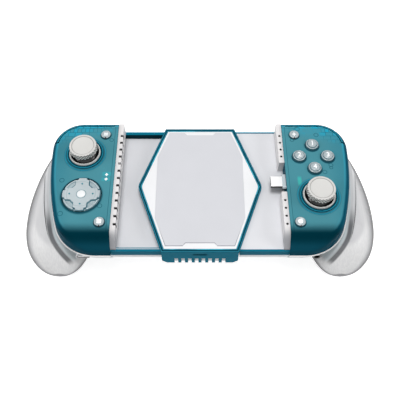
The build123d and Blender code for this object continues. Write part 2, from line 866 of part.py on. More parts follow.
def turned_button(place, radius, bottom_z, top_z, crown):
    """Round button cap with a flange below and an eased or crowned top."""
    with BuildPart() as cap:
        with BuildSketch(Plane.XZ):
            with BuildLine():
                Polyline(
                    (0, top_z),
                    (0, bottom_z),
                    (radius + button_flange, bottom_z),
                    (radius + button_flange, bottom_z + button_flange_thickness),
                    (radius, bottom_z + button_flange_thickness),
                    (radius, top_z - crown - button_edge),
                    (radius - button_edge, top_z - crown),
                )
                if crown:
                    span = radius - button_edge
                    ball = (span ** 2 + crown ** 2) / 2 / crown
                    half_span = span / 2
                    half_z = top_z - ball + sqrt(ball ** 2 - half_span ** 2)
                    ThreePointArc((span, top_z - crown), (half_span, half_z), (0, top_z))
                else:
                    Line((radius - button_edge, top_z), (0, top_z))
            make_face()
        revolve(axis=Axis.Z)
    return Location((*place, 0)) * cap.part


# Everything that a module is made of, once for each hand
for side, sign in (("left", -1), ("right", 1)):
    root_x = sign * module_inner_x
    tab_x = sign * (module_inner_x + arm_tab_depth)
    free_x = tray_reach if side == "left" else right_arm_start
    wall_in = rail_width if side == "left" else rim_width
    stick_x, stick_y = stick_places[side]
    screws = [(sign * x, y) for x, y in screw_places]

    # Coloured frame of the telescopic arm: two side rails on a thin web
    with BuildPart() as arm_frame:
        add(box_between((root_x, -arm_half_width, arm_seam_z), (free_x, arm_half_width, arm_top_z)))
        low = (root_x + sign * overrun, wall_in - arm_half_width, arm_web_top_z)
        high = (free_x - sign * overrun, arm_half_width - wall_in, arm_top_z + overrun)
        add(box_between(low, high), mode=Mode.SUBTRACT)
        low = (root_x, -arm_tab_half_width, arm_seam_z)
        high = (tab_x, arm_tab_half_width, arm_web_top_z)
        add(box_between(low, high))
    arm_frame.part.label = f"{side}_arm_frame"
    export_step(arm_frame.part, f"parts/{side}_arm_frame.step")

    # Pale back plate of the arm; the left one is notched to pass the pinion's hub
    with BuildPart() as arm_back:
        add(box_between((root_x, -arm_half_width, arm_bottom_z), (free_x, arm_half_width, arm_seam_z)))
        low = (root_x + sign * overrun, rail_width - arm_half_width, lane_floor_z)
        high = (free_x - sign * overrun, arm_half_width - rail_width, arm_seam_z + overrun)
        add(box_between(low, high), mode=Mode.SUBTRACT)
        low = (root_x, -arm_tab_half_width, arm_bottom_z)
        high = (tab_x, arm_tab_half_width, lane_floor_z)
        add(box_between(low, high))
        if side == "left":
            low = (notch_start_x, -notch_half, arm_bottom_z - overrun)
            high = (tray_reach + overrun, notch_half, arm_seam_z)
            add(box_between(low, high), mode=Mode.SUBTRACT)
    arm_back.part.label = f"{side}_arm_back"
    export_step(arm_back.part, f"parts/{side}_arm_back.step")

    # Toothed rack in the lane between web and back plate, clamped at its root
    with BuildPart() as rack:
        extrude(rack_outline(sign), amount=gear_high_z - gear_low_z)
        low = (sign * rack_root_x, -sign * (gear_pitch_radius + gear_dedendum), lane_floor_z)
        high = (sign * (rack_root_x - rack_root_length), -sign * rack_back_y, arm_seam_z)
        add(box_between(low, high))
    rack.part.label = f"{side}_rack"
    export_step(rack.part, f"parts/{side}_rack.step")

    # Grey panel: a thin floor in the left tray, a ribbed sliding tongue on the right
    with BuildPart() as arm_panel:
        if side == "left":
            low = (root_x, rail_width + pin_gap - arm_half_width, arm_web_top_z)
            high = (free_x, arm_half_width - rail_width - pin_gap, tray_panel_top_z)
            add(box_between(low, high))
        else:
            tongue_half = arm_half_width - rail_width - run_gap
            panel_half = arm_half_width - rim_width - pin_gap
            low = (root_x, -tongue_half, tongue_low_z)
            add(box_between(low, (-tray_reach, tongue_half, arm_top_z)))
            low = (root_x, -panel_half, arm_web_top_z)
            add(box_between(low, (free_x, panel_half, arm_top_z)))
            pocket_x = (module_inner_x + tray_reach - panel_rib) / panel_pockets_x
            pocket_y = (2 * tongue_half - panel_rib) / panel_pockets_y
            with Locations(((module_inner_x - tray_reach) / 2, 0, arm_top_z - panel_top)):
                with GridLocations(pocket_x, pocket_y, panel_pockets_x, panel_pockets_y):
                    Box(
                        pocket_x - panel_rib,
                        pocket_y - panel_rib,
                        arm_top_z,
                        align=(Align.CENTER, Align.CENTER, Align.MAX),
                        mode=Mode.SUBTRACT,
                    )
    arm_panel.part.label = f"{side}_arm_panel"
    export_step(arm_panel.part, f"parts/{side}_arm_panel.step")

    # Back shell: drafted tray with the hollow grip lobe, posts and wells for the screws
    with BuildPart() as back_hollow:
        add(lobe_form(sign, grip_wall))
        roof_reach = rim_width_out + ledge_width + shell_wall
        roof = module_outline(sign, seam_z - ledge_drop - shell_wall, roof_reach)
        extrude(roof, amount=rest_height, mode=Mode.SUBTRACT)
        add(tray_form(sign, rim_width_out - back_wall, seam_z - inside_floor_z, back_wall))
        for place in screws:
            add(peg(place, boss_radius, 0, seam_z), mode=Mode.SUBTRACT)
        for dx in (-stick_boss_offset, stick_boss_offset):
            for dy in (-stick_boss_offset, stick_boss_offset):
                place = (stick_x + dx, stick_y + dy)
                add(peg(place, front_boss_radius, 0, stick_flange_low_z), mode=Mode.SUBTRACT)
    with BuildPart() as back_shell:
        add(lobe_form(sign, 0))
        ledge = module_outline(sign, seam_z - ledge_drop, rim_width_out + ledge_width)
        extrude(ledge, amount=rest_height, mode=Mode.SUBTRACT)
        add(tray_form(sign, rim_width_out, seam_z - shell_floor_z, 0))
        low = (-2 * module_outer_x, -module_outer_x, -overrun)
        high = (2 * module_outer_x, module_outer_x, 0)
        add(box_between(low, high), mode=Mode.SUBTRACT)
        add(back_hollow.part, mode=Mode.SUBTRACT)
        for place in screws:
            boss_top_z = board_low_z if place[1] > board_low_y else board_top_z
            add(peg(place, boss_radius, shell_floor_z, boss_top_z))
            add(peg(place, screw_well_radius, -overrun, screw_seat_z), mode=Mode.SUBTRACT)
            add(peg(place, screw_radius + slide_gap, 0, face_z), mode=Mode.SUBTRACT)
        # doorway for the arm
        low = (root_x - sign * overrun, -arm_tab_half_width - pin_gap, arm_bottom_z)
        high = (tab_x, arm_tab_half_width + pin_gap, seam_z + overrun)
        add(box_between(low, high), mode=Mode.SUBTRACT)
        # slot and brackets for the trigger
        slot_in_x = sign * (trigger_inner_x - trigger_slot_gap)
        slot_out_x = sign * (trigger_inner_x + trigger_width + trigger_slot_gap)
        bracket_low_y = trigger_pivot_y - trigger_bracket_half
        bracket_high_y = trigger_pivot_y + trigger_bracket_half
        bracket_top_z = trigger_pivot_z + trigger_bracket_half
        low = (slot_in_x, bracket_low_y - trigger_slot_gap, shell_floor_z - overrun)
        high = (slot_out_x, module_top_y + overrun, seam_z + overrun)
        add(box_between(low, high), mode=Mode.SUBTRACT)
        for near_x, away in ((slot_in_x, -sign), (slot_out_x, sign)):
            low = (near_x, bracket_low_y, shell_floor_z)
            high = (near_x + away * trigger_bracket_wall, bracket_high_y, bracket_top_z)
            add(box_between(low, high))
        trigger_mid_x = sign * (trigger_inner_x + trigger_width / 2)
        trigger_axis = (trigger_mid_x, trigger_pivot_y, trigger_pivot_z)
        reach = trigger_width / 2 + trigger_slot_gap + trigger_bracket_wall
        add(lying_peg(trigger_axis, trigger_pin_radius + pin_gap, reach, False), mode=Mode.SUBTRACT)
        # post and pin for the bumper
        post = (sign * bumper_pivot[0], bumper_pivot[1])
        add(peg(post, bumper_lug_half - slide_gap, shell_floor_z, bumper_lug_z - slide_gap))
        pin_top_z = bumper_lug_z + bumper_lug_thickness + slide_gap
        add(peg(post, bumper_pin_radius, shell_floor_z, pin_top_z))
        # opening for the socket in the lower wall
        with BuildSketch(Plane.XZ.offset(-jack_face_y - jack_nose_length)) as mouth:
            with Locations((sign * socket_x, socket_z)):
                if side == "right":
                    Circle(jack_nose_radius + socket_gap)
                else:
                    SlotOverall(charge_width + 2 * socket_gap, charge_height + 2 * socket_gap)
        extrude(mouth.sketch, amount=2 * jack_nose_length, mode=Mode.SUBTRACT)
        # posts for the plug holder's pins
        if side == "right":
            for end in (-1, 1):
                near_y = plug_y + end * (holder_half_width + slide_gap)
                far_y = near_y + end * (holder_pin_length + slide_gap)
                low = (holder_pivot_x - holder_post_half, near_y, shell_floor_z)
                high = (holder_pivot_x + holder_post_half, far_y, plug_z + holder_post_half)
                add(box_between(low, high))
            pin_spot = (holder_pivot_x, plug_y, plug_z)
            pin_reach = holder_half_width + overrun
            add(lying_peg(pin_spot, holder_pin_radius + pin_gap, pin_reach, True), mode=Mode.SUBTRACT)
    back_shell.part.label = f"{side}_back_shell"
    export_step(back_shell.part, f"parts/{side}_back_shell.step")

    # Round buttons of this side: centre, radius, rise, travel and crown
    buttons = {
        f"{side}_upper_button": (menu_places[side]["upper"], menu_radius, menu_rise, menu_travel, 0),
        f"{side}_lower_button": (menu_places[side]["lower"], menu_radius, menu_rise, menu_travel, 0),
    }
    if side == "right":
        for name, dx, dy in (("top", 0, 1), ("inner", -1, 0), ("outer", 1, 0), ("bottom", 0, -1)):
            place = (action_x + dx * action_spread, action_y + dy * action_spread)
            action_sizes = (place, action_radius, action_rise, action_travel, action_crown)
            buttons[f"{name}_action_button"] = action_sizes
    for name, (place, radius, rise, travel, crown) in buttons.items():
        button_low_z = inside_top_z - slide_gap - button_flange_thickness
        button = turned_button(place, radius, button_low_z, face_z + rise, crown)
        button.label = name
        export_step(button, f"parts/{name}.step")

    # Front shell: coloured face with wells for stick, pad and buttons
    with BuildPart() as front_hollow:
        add(front_form(sign, shell_wall))
        for place in screws:
            add(peg(place, front_boss_radius, board_top_z, face_z), mode=Mode.SUBTRACT)
    with BuildPart() as front_shell:
        add(front_form(sign, 0))
        add(front_hollow.part, mode=Mode.SUBTRACT)
        add(peg((stick_x, stick_y), stick_halo_radius, inside_top_z, face_z + stick_halo_height))
        add(peg((stick_x, stick_y), stick_collar_radius, inside_top_z, face_z + stick_collar_height))
        ring_room = stick_ring_outer + pin_gap
        add(peg((stick_x, stick_y), ring_room, face_z, face_z + overrun), mode=Mode.SUBTRACT)
        with Locations((stick_x, stick_y, face_z - shell_wall / 2)):
            Cone(stick_hole_radius + stick_hole_flare, stick_hole_radius, shell_wall, mode=Mode.SUBTRACT)
        for place, radius, rise, travel, crown in buttons.values():
            add(peg(place, radius + button_hole_gap, board_top_z, face_z + overrun), mode=Mode.SUBTRACT)
        for place in screws:
            add(peg(place, screw_radius, seam_z, screw_seat_z + screw_length), mode=Mode.SUBTRACT)
        if side == "left":
            add(peg(dpad_place, dpad_hole_radius, board_top_z, face_z + overrun), mode=Mode.SUBTRACT)
            for place in window_places:
                with BuildSketch(Plane.XY.offset(board_top_z)) as window_hole:
                    with Locations(place):
                        Rectangle(window_size, window_size, rotation=45)
                extrude(window_hole.sketch, amount=face_z - board_top_z, mode=Mode.SUBTRACT)
        else:
            door_half = holder_half_width + plug_bay_room
            door_low_z = plug_z - holder_half_height - holder_room
            low = (module_inner_x - overrun, plug_y - door_half, door_low_z)
            high = (module_inner_x + shell_wall + pin_gap, plug_y + door_half, inside_top_z)
            add(box_between(low, high), mode=Mode.SUBTRACT)
        cut_depth = bumper_depth + bumper_side_gap
        cut_x = bumper_inner_x - run_gap
        cut_y = bumper_outer_y - bumper_end_gap
        add(strip_form(sign, cut_depth, cut_x, cut_y, seam_z - overrun), mode=Mode.SUBTRACT)
    front_shell.part.label = f"{side}_front_shell"
    export_step(front_shell.part, f"parts/{side}_front_shell.step")

    # Bumper: the shell's top edge and corner, turning on a pin near its inner end
    with BuildPart() as bumper:
        add(front_form(sign, 0))
        add(front_form(sign, shell_wall), mode=Mode.SUBTRACT)
        zone = strip_form(sign, bumper_depth, bumper_inner_x, bumper_outer_y, seam_z + slide_gap)
        add(zone, mode=Mode.INTERSECT)
        pin_x = sign * bumper_pivot[0]
        lug_top_z = bumper_lug_z + bumper_lug_thickness
        low = (pin_x - bumper_lug_half, bumper_pivot[1] - bumper_lug_half, bumper_lug_z)
        high = (pin_x + bumper_lug_half, module_top_y - shell_wall / 2, lug_top_z)
        add(box_between(low, high))
        pin_hole = peg((pin_x, bumper_pivot[1]), bumper_pin_radius + pin_gap, seam_z, lug_top_z)
        add(pin_hole, mode=Mode.SUBTRACT)
    bumper.part.label = f"{side}_bumper"
    export_step(bumper.part, f"parts/{side}_bumper.step")

    # Trigger: a curved finger lever with moulded pivot pins and a gap for its spring
    low_x = trigger_mid_x - trigger_width / 2
    spring_mid_x = sign * (trigger_inner_x + trigger_spring_room / 2)
    spring_axis = (spring_mid_x, trigger_pivot_y, trigger_pivot_z)
    with BuildPart() as trigger:
        with BuildSketch(Plane.YZ.offset(low_x)):
            nose = [trigger_point(shares) for shares in trigger_nose_shares]
            front = [trigger_point(shares) for shares in trigger_front_shares]
            tip = [trigger_point(shares) for shares in trigger_tip_shares]
            back = [trigger_point(shares) for shares in trigger_back_shares]
            eye_top = (trigger_pivot_y, trigger_pivot_z + trigger_eye_radius)
            eye_rear = (trigger_pivot_y - trigger_eye_radius, trigger_pivot_z)
            eye_low = (trigger_pivot_y, trigger_pivot_z - trigger_eye_radius)
            with BuildLine():
                Line(eye_top, nose[0])
                ThreePointArc(*nose)
                ThreePointArc(nose[-1], *front)
                ThreePointArc(front[-1], *tip)
                ThreePointArc(tip[-1], *back)
                Line(back[-1], eye_low)
                ThreePointArc(eye_low, eye_rear, eye_top)
            make_face()
        extrude(amount=trigger_width)
        room = trigger_spring_room / 2
        add(lying_peg(spring_axis, trigger_eye_radius + slide_gap, room, False), mode=Mode.SUBTRACT)
        pins_half = trigger_width / 2 + trigger_pin_length
        add(lying_peg(trigger_axis, trigger_pin_radius, pins_half, False))
    trigger.part.label = f"{side}_trigger"
    export_step(trigger.part, f"parts/{side}_trigger.step")

    # Return spring of the trigger: coil sleeve round the pin, with a foot on the shell's floor
    with BuildPart() as trigger_spring:
        sleeve_half = trigger_spring_room / 2 - slide_gap
        add(lying_peg(spring_axis, trigger_spring_outer, sleeve_half, False))
        wire = trigger_spring_outer - trigger_spring_inner
        foot_low_y = trigger_pivot_y - trigger_spring_foot
        low = (spring_mid_x - sleeve_half, foot_low_y, inside_floor_z)
        high = (spring_mid_x - sleeve_half + wire, trigger_pivot_y, inside_floor_z + wire)
        add(box_between(low, high))
        hollow = lying_peg(spring_axis, trigger_spring_inner, trigger_spring_room, False)
        add(hollow, mode=Mode.SUBTRACT)
    trigger_spring.part.label = f"{side}_trigger_spring"
    export_step(trigger_spring.part, f"parts/{side}_trigger_spring.step")

    # Soft pads that the phone's ends press against
    with BuildPart() as phone_pad:
        pad_x = module_inner_x - pad_thickness
        pad_side = chin_profile(sign * pad_x, pad_inset, arm_top_z + slide_gap)
        extrude(pad_side, amount=sign * pad_thickness)
        low = (sign * pad_x, pad_low_y, 0)
        high = (sign * module_inner_x, pad_top_y, face_z)
        add(box_between(low, high), mode=Mode.INTERSECT)
        notch_low_z = face_z - pad_inset - pad_notch_depth
        if side == "left":
            for index in range(pad_notch_count):
                notch_y = pad_notch_first_y - index * pad_notch_pitch
                low = (-pad_x + overrun, notch_y - pad_notch_width / 2, notch_low_z)
                high = (-pad_x - pad_notch_reach, notch_y + pad_notch_width / 2, face_z)
                add(box_between(low, high), mode=Mode.SUBTRACT)
        else:
            low = (0, pad_lower_start_y, 0)
            high = (module_outer_x, pad_upper_end_y, face_z)
            add(box_between(low, high), mode=Mode.SUBTRACT)
            for first_y in (pad_upper_hole_first_y, pad_lower_hole_first_y):
                for index in range(pad_hole_count):
                    place = (pad_x + pad_notch_reach, first_y - index * pad_notch_pitch)
                    add(peg(place, pad_hole_radius, notch_low_z, face_z), mode=Mode.SUBTRACT)
    phone_pad.part.label = f"{side}_phone_pad"
    export_step(phone_pad.part, f"parts/{side}_phone_pad.step")

    # Circuit board with a cut-out for the stick
    with BuildPart() as board:
        extrude(module_outline(sign, board_low_z, -board_margin), amount=board_thickness)
        low = (sign * board_inner_x, board_low_y, 0)
        high = (sign * module_outer_x, module_top_y, face_z)
        add(box_between(low, high), mode=Mode.INTERSECT)
        stick_room = stick_dome_radius + board_stick_gap
        add(peg((stick_x, stick_y), stick_room, board_low_z, board_top_z), mode=Mode.SUBTRACT)
        for place in screws:
            add(peg(place, screw_radius + run_gap, board_low_z, board_top_z), mode=Mode.SUBTRACT)
        low = (sign * module_inner_x, bumper_pivot[1] - bumper_lug_half - pad_recess, 0)
        high = (sign * (bumper_pivot[0] + bumper_lug_half + run_gap), module_top_y, face_z)
        add(box_between(low, high), mode=Mode.SUBTRACT)
        if side == "right":
            low = (module_inner_x, -board_plug_half, 0)
            high = (board_plug_x, board_plug_half, face_z)
            add(box_between(low, high), mode=Mode.SUBTRACT)
    board.part.label = f"{side}_board"
    export_step(board.part, f"parts/{side}_board.step")

    # Rubber switch mat with a post under every button
    with BuildSketch(Plane.XY.offset(board_top_z)) as cluster:
        for name, (place, radius, rise, travel, crown) in buttons.items():
            if name != f"{side}_lower_button":
                with Locations(place):
                    Circle(radius + membrane_margin)
        if side == "right":
            make_hull()
    with BuildPart() as membrane:
        with BuildSketch(Plane.XY.offset(board_top_z)) as mat:
            add(cluster.sketch)
            with Locations(buttons[f"{side}_lower_button"][0]):
                Circle(menu_radius + membrane_margin)
            if side == "left":
                with Locations(dpad_place):
                    Circle(dpad_post_distance + dpad_post_radius + membrane_margin)
                upper_y = buttons["left_upper_button"][0][1]
                lower_y = buttons["left_lower_button"][0][1]
                with Locations((-membrane_strip_x, (upper_y + lower_y) / 2)):
                    Rectangle(membrane_strip_width, upper_y - lower_y)
                with Locations(((dpad_x - membrane_strip_x) / 2, dpad_y)):
                    Rectangle(-dpad_x - membrane_strip_x, dpad_post_distance)
        extrude(mat.sketch, amount=membrane_thickness)
        for place, radius, rise, travel, crown in buttons.values():
            post_top_z = inside_top_z - slide_gap - button_flange_thickness - travel - press_reserve
            add(peg(place, membrane_post_radius, board_top_z, post_top_z))
        if side == "left":
            post_top_z = dpad_bottom_z - dpad_post_gap
            for dx, dy in ((1, 0), (-1, 0), (0, 1), (0, -1)):
                place = (dpad_x + dx * dpad_post_distance, dpad_y + dy * dpad_post_distance)
                add(peg(place, dpad_post_radius, board_top_z, post_top_z))
            add(peg(dpad_place, dpad_post_radius, board_top_z, dpad_pivot_low_z - run_gap))
    membrane.part.label = f"{side}_membrane"
    export_step(membrane.part, f"parts/{side}_membrane.step")

    # Three self-tapping screws from the back
    with BuildPart() as module_screws:
        for place in screws:
            add(peg(place, screw_head_radius, screw_seat_z - screw_head_height, screw_seat_z))
            add(peg(place, screw_radius, screw_seat_z - screw_head_height, screw_seat_z + screw_length))
            with BuildSketch(Plane.XY.offset(screw_seat_z - screw_head_height)) as drive:
                with Locations(place):
                    RegularPolygon(screw_radius, 6)
            extrude(drive.sketch, amount=screw_head_height / 2, mode=Mode.SUBTRACT)
    module_screws.part.label = f"{side}_screws"
    export_step(module_screws.part, f"parts/{side}_screws.step")

    # Stick case: square open housing on a flange, with bearing holes for the yoke
    centre = (stick_x, stick_y)
    case_low_z = stick_flange_low_z + stick_flange_thickness
    case_top_z = stick_pivot_z + stick_case_top
    with BuildPart() as stick_case:
        low = (stick_x - stick_flange_half, stick_y - stick_flange_half, stick_flange_low_z)
        high = (stick_x + stick_flange_half, stick_y + stick_flange_half, case_low_z)
        add(box_between(low, high))
        low = (stick_x - stick_case_half, stick_y - stick_case_half, stick_flange_low_z)
        high = (stick_x + stick_case_half, stick_y + stick_case_half, case_top_z)
        add(box_between(low, high))
        inner_half = stick_case_half - stick_case_wall
        low = (stick_x - inner_half, stick_y - inner_half, case_low_z)
        high = (stick_x + inner_half, stick_y + inner_half, face_z)
        add(box_between(low, high), mode=Mode.SUBTRACT)
        journal_room = stick_journal_radius + pin_gap
        bearing = lying_peg((*centre, stick_pivot_z), journal_room, stick_flange_half, False)
        add(bearing, mode=Mode.SUBTRACT)
    stick_case.part.label = f"{side}_stick_case"
    export_step(stick_case.part, f"parts/{side}_stick_case.step")

    # Stick yoke: square ring with two journals; it tips about X and carries the stem
    with BuildPart() as stick_yoke:
        low = (stick_x - yoke_half, stick_y - yoke_half, stick_pivot_z - yoke_half_height)
        high = (stick_x + yoke_half, stick_y + yoke_half, stick_pivot_z + yoke_half_height)
        add(box_between(low, high))
        add(lying_peg((*centre, stick_pivot_z), stick_journal_radius, stick_case_half, False))
        inner_half = yoke_half - yoke_wall
        low = (stick_x - inner_half, stick_y - inner_half, 0)
        high = (stick_x + inner_half, stick_y + inner_half, face_z)
        add(box_between(low, high), mode=Mode.SUBTRACT)
        bearing = lying_peg((*centre, stick_pivot_z), stick_pin_radius + pin_gap, yoke_half, True)
        add(bearing, mode=Mode.SUBTRACT)
    stick_yoke.part.label = f"{side}_stick_yoke"
    export_step(stick_yoke.part, f"parts/{side}_stick_yoke.step")

    # Stick stem: shaft on two cross pins, with the dark dome that closes the hole in the face
    dome_low_z = stick_pivot_z + stick_dome_skirt
    shaft_top_z = stick_cap_bottom_z + stick_shaft_engage
    with BuildPart() as stick_stem:
        with Locations((*centre, stick_pivot_z)):
            Sphere(stick_dome_radius)
            Sphere(stick_dome_radius - stick_dome_wall, mode=Mode.SUBTRACT)
        low = (stick_x - stick_halo_radius, stick_y - stick_halo_radius, 0)
        high = (stick_x + stick_halo_radius, stick_y + stick_halo_radius, dome_low_z)
        add(box_between(low, high), mode=Mode.SUBTRACT)
        add(peg(centre, stick_stem_radius, stick_pivot_z - stick_hub_radius, shaft_top_z))
        add(lying_peg((*centre, stick_pivot_z), stick_pin_radius, yoke_half, True))
    stick_stem.part.label = f"{side}_stick_stem"
    export_step(stick_stem.part, f"parts/{side}_stick_stem.step")

    # Stick cap: knurled disc with a shallow dish, pressed down on the shaft for the click
    cap_top_z = stick_cap_bottom_z + stick_cap_height
    with BuildPart() as stick_cap:
        add(peg(centre, stick_cap_radius, stick_cap_bottom_z, cap_top_z))
        fillet(stick_cap.edges().filter_by(GeomType.CIRCLE).sort_by(Axis.Z)[-1], radius=stick_cap_edge)
        chamfer(stick_cap.edges().filter_by(GeomType.CIRCLE).sort_by(Axis.Z)[0], length=stick_cap_edge)
        dish_ball = (stick_dish_radius ** 2 + stick_dish_depth ** 2) / 2 / stick_dish_depth
        with Locations((*centre, cap_top_z + dish_ball - stick_dish_depth)):
            Sphere(dish_ball, mode=Mode.SUBTRACT)
        add(peg(centre, stick_cap_hub_radius, stick_cap_hub_low_z, cap_top_z - stick_cap_height / 2))
        bore_radius = stick_stem_radius + pin_gap
        bore_top_z = shaft_top_z + menu_travel + press_reserve
        add(peg(centre, bore_radius, stick_cap_hub_low_z, bore_top_z), mode=Mode.SUBTRACT)
        with Locations((*centre, stick_cap_bottom_z + stick_cap_height / 2)):
            with PolarLocations(stick_cap_radius + knurl_radius / 3, knurl_count):
                Cylinder(knurl_radius, stick_cap_height, mode=Mode.SUBTRACT)
    stick_cap.part.label = f"{side}_stick_cap"
    export_step(stick_cap.part, f"parts/{side}_stick_cap.step")

    # White ribbed wear ring round the stick hole
    with BuildPart() as stick_ring:
        add(peg(centre, stick_ring_outer, face_z, face_z + stick_ring_height))
        add(peg(centre, stick_ring_inner, face_z, face_z + stick_ring_height), mode=Mode.SUBTRACT)
    stick_ring.part.label = f"{side}_stick_ring"
    export_step(stick_ring.part, f"parts/{side}_stick_ring.step")


# Direction pad: round base with a raised cross, dished centre dot and notched arm tips
dpad_disc_top_z = dpad_bottom_z + dpad_disc_thickness
dpad_arm_top_z = dpad_disc_top_z + dpad_arm_rise
with BuildPart() as dpad:
    add(peg(dpad_place, dpad_radius, dpad_bottom_z, dpad_disc_top_z))
    with BuildSketch(Plane.XY.offset(dpad_disc_top_z)) as cross:
        with Locations(dpad_place):
            Rectangle(dpad_arm_width, 2 * dpad_radius)
            Rectangle(2 * dpad_radius, dpad_arm_width)
            Circle(dpad_radius - button_edge, mode=Mode.INTERSECT)
            with PolarLocations(dpad_radius, 4):
                Rectangle(2 * dpad_notch_width, dpad_notch_width, mode=Mode.SUBTRACT)
    extrude(cross.sketch, amount=dpad_arm_rise, taper=dpad_arm_draft)
    dpad_dot_z = dpad_arm_top_z - dpad_dot_depth
    add(peg(dpad_place, dpad_dot_radius, dpad_dot_z, face_z + overrun), mode=Mode.SUBTRACT)
    with Locations((*dpad_place, dpad_arm_top_z)):
        with PolarLocations(dpad_mark_distance, 4):
            Cylinder(dpad_mark_radius, 2 * dpad_dot_depth, mode=Mode.SUBTRACT)
dpad.part.label = "dpad"
export_step(dpad.part, "parts/dpad.step")

# Pivot plate below the direction pad
with BuildPart() as dpad_pivot:
    add(peg(dpad_place, dpad_pivot_radius, dpad_pivot_low_z, dpad_pivot_low_z + dpad_pivot_thickness))
dpad_pivot.part.label = "dpad_pivot"
export_step(dpad_pivot.part, "parts/dpad_pivot.step")

# Two light pipes in the left face
with BuildPart() as indicator_windows:
    with BuildSketch(Plane.XY.offset(inside_top_z - window_depth)) as windows:
        for place in window_places:
            with Locations(place):
                Rectangle(window_size - 2 * pin_gap, window_size - 2 * pin_gap, rotation=45)
    extrude(windows.sketch, amount=window_depth + shell_wall)
indicator_windows.part.label = "indicator_windows"
export_step(indicator_windows.part, "parts/indicator_windows.step")

# Charging socket under the left module: metal shell, tongue and a block on the shell's floor
with BuildPart() as charge_socket:
    with BuildSketch(Plane.XZ.offset(-jack_face_y)) as shell_outline:
        with Locations((-socket_x, socket_z)):
            SlotOverall(charge_width, charge_height)
            SlotOverall(
                charge_width - 2 * charge_wall,
                charge_height - 2 * charge_wall,
                mode=Mode.SUBTRACT,
            )
    extrude(shell_outline.sketch, amount=-charge_depth)
    tongue_half = charge_tongue_width / 2
    tongue_low_y = jack_face_y + charge_wall
    tongue_high_y = jack_face_y + charge_depth
    tongue_low = (-socket_x - tongue_half, tongue_low_y, socket_z - charge_tongue_height / 2)
    tongue_high = (-socket_x + tongue_half, tongue_high_y, socket_z + charge_tongue_height / 2)
    add(box_between(tongue_low, tongue_high))
    block_low = (-socket_x - charge_width / 2, jack_face_y + charge_depth, inside_floor_z)
    block_high = (-socket_x + charge_width / 2, jack_face_y + jack_length, socket_z + charge_height / 2)
    add(box_between(block_low, block_high))
charge_socket.part.label = "charge_socket"
export_step(charge_socket.part, "parts/charge_socket.step")

# Audio socket under the right module: round nose, body block and a blind bore
with BuildPart() as audio_jack:
    with BuildSketch(Plane.XZ.offset(-jack_face_y)) as nose_outline:
        with Locations((socket_x, socket_z)):
            Circle(jack_nose_radius)
    extrude(nose_outline.sketch, amount=-jack_nose_length)
    body_low = (socket_x - jack_half_width, jack_face_y + jack_nose_length, inside_floor_z)
    body_high = (socket_x + jack_half_width, jack_face_y + jack_length, socket_z + jack_half_width)
    add(box_between(body_low, body_high))
    with BuildSketch(Plane.XZ.offset(-jack_face_y)) as bore_outline:
        with Locations((socket_x, socket_z)):
            Circle(jack_bore_radius)
    extrude(bore_outline.sketch, amount=-jack_bore_depth, mode=Mode.SUBTRACT)
audio_jack.part.label = "audio_jack"
export_step(audio_jack.part, "parts/audio_jack.step")

# Plug holder: rounded block that tips a little, so that the phone is easy to seat
with BuildPart() as plug_holder:
    with BuildSketch(Plane.YZ.offset(holder_face_x)) as holder_outline:
        with Locations((plug_y, plug_z)):
            RectangleRounded(2 * holder_half_width, 2 * holder_half_height, holder_corner)
    extrude(holder_outline.sketch, amount=holder_back_x - holder_face_x)
    pins_half = holder_half_width + holder_pin_length
    add(lying_peg((holder_pivot_x, plug_y, plug_z), holder_pin_radius, pins_half, True))
plug_holder.part.label = "plug_holder"
export_step(plug_holder.part, "parts/plug_holder.step")

# Phone plug: hollow metal tongue shell
with BuildPart() as usb_plug:
    with BuildSketch(Plane.YZ.offset(plug_tip_x)) as plug_outline:
        with Locations((plug_y, plug_z)):
            SlotOverall(plug_width, plug_height)
    extrude(plug_outline.sketch, amount=holder_face_x - plug_tip_x)
    with BuildSketch(Plane.YZ.offset(plug_tip_x)) as plug_hollow:
        with Locations((plug_y, plug_z)):
            SlotOverall(plug_width - 2 * plug_wall, plug_height - 2 * plug_wall)
    extrude(plug_hollow.sketch, amount=plug_hollow_depth, mode=Mode.SUBTRACT)
usb_plug.part.label = "usb_plug"
export_step(usb_plug.part, "parts/usb_plug.step")
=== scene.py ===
import bpy, bmesh
from math import cos, pi, radians, sin, sqrt
from mathutils import Matrix, Vector


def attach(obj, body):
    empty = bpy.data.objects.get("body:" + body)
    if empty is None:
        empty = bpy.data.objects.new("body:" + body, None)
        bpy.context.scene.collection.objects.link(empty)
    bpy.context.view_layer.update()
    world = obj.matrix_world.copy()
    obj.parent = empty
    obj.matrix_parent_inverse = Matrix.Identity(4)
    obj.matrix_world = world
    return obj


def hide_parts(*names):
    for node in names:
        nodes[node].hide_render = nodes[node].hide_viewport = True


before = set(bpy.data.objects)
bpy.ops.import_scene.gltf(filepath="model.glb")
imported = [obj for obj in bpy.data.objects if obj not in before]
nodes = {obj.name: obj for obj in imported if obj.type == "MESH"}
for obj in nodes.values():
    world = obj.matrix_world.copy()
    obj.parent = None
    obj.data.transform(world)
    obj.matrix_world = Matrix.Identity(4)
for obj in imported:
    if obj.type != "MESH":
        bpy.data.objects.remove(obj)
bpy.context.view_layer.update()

# Camera, floor and studio
# The view is the photograph's: straight on from the player's side, 59 degrees above the table,
# through a 50 mm lens. The table is plain white and the light is soft from all round.
rest_height = 0.036
view_height = radians(59)
view_distance = 0.3499
aim = Vector((0, -0.010, rest_height))
camera_data = bpy.data.cameras.new("camera")
camera_data.lens = 50
camera_data.sensor_width = 36
camera = bpy.data.objects.new("camera", camera_data)
camera.location = aim + view_distance * Vector((0, -cos(view_height), sin(view_height)))
camera.rotation_euler = (pi / 2 - view_height, 0, 0)
bpy.context.scene.collection.objects.link(camera)
bpy.context.scene.camera = camera
bpy.context.scene.view_settings.view_transform = "Standard"


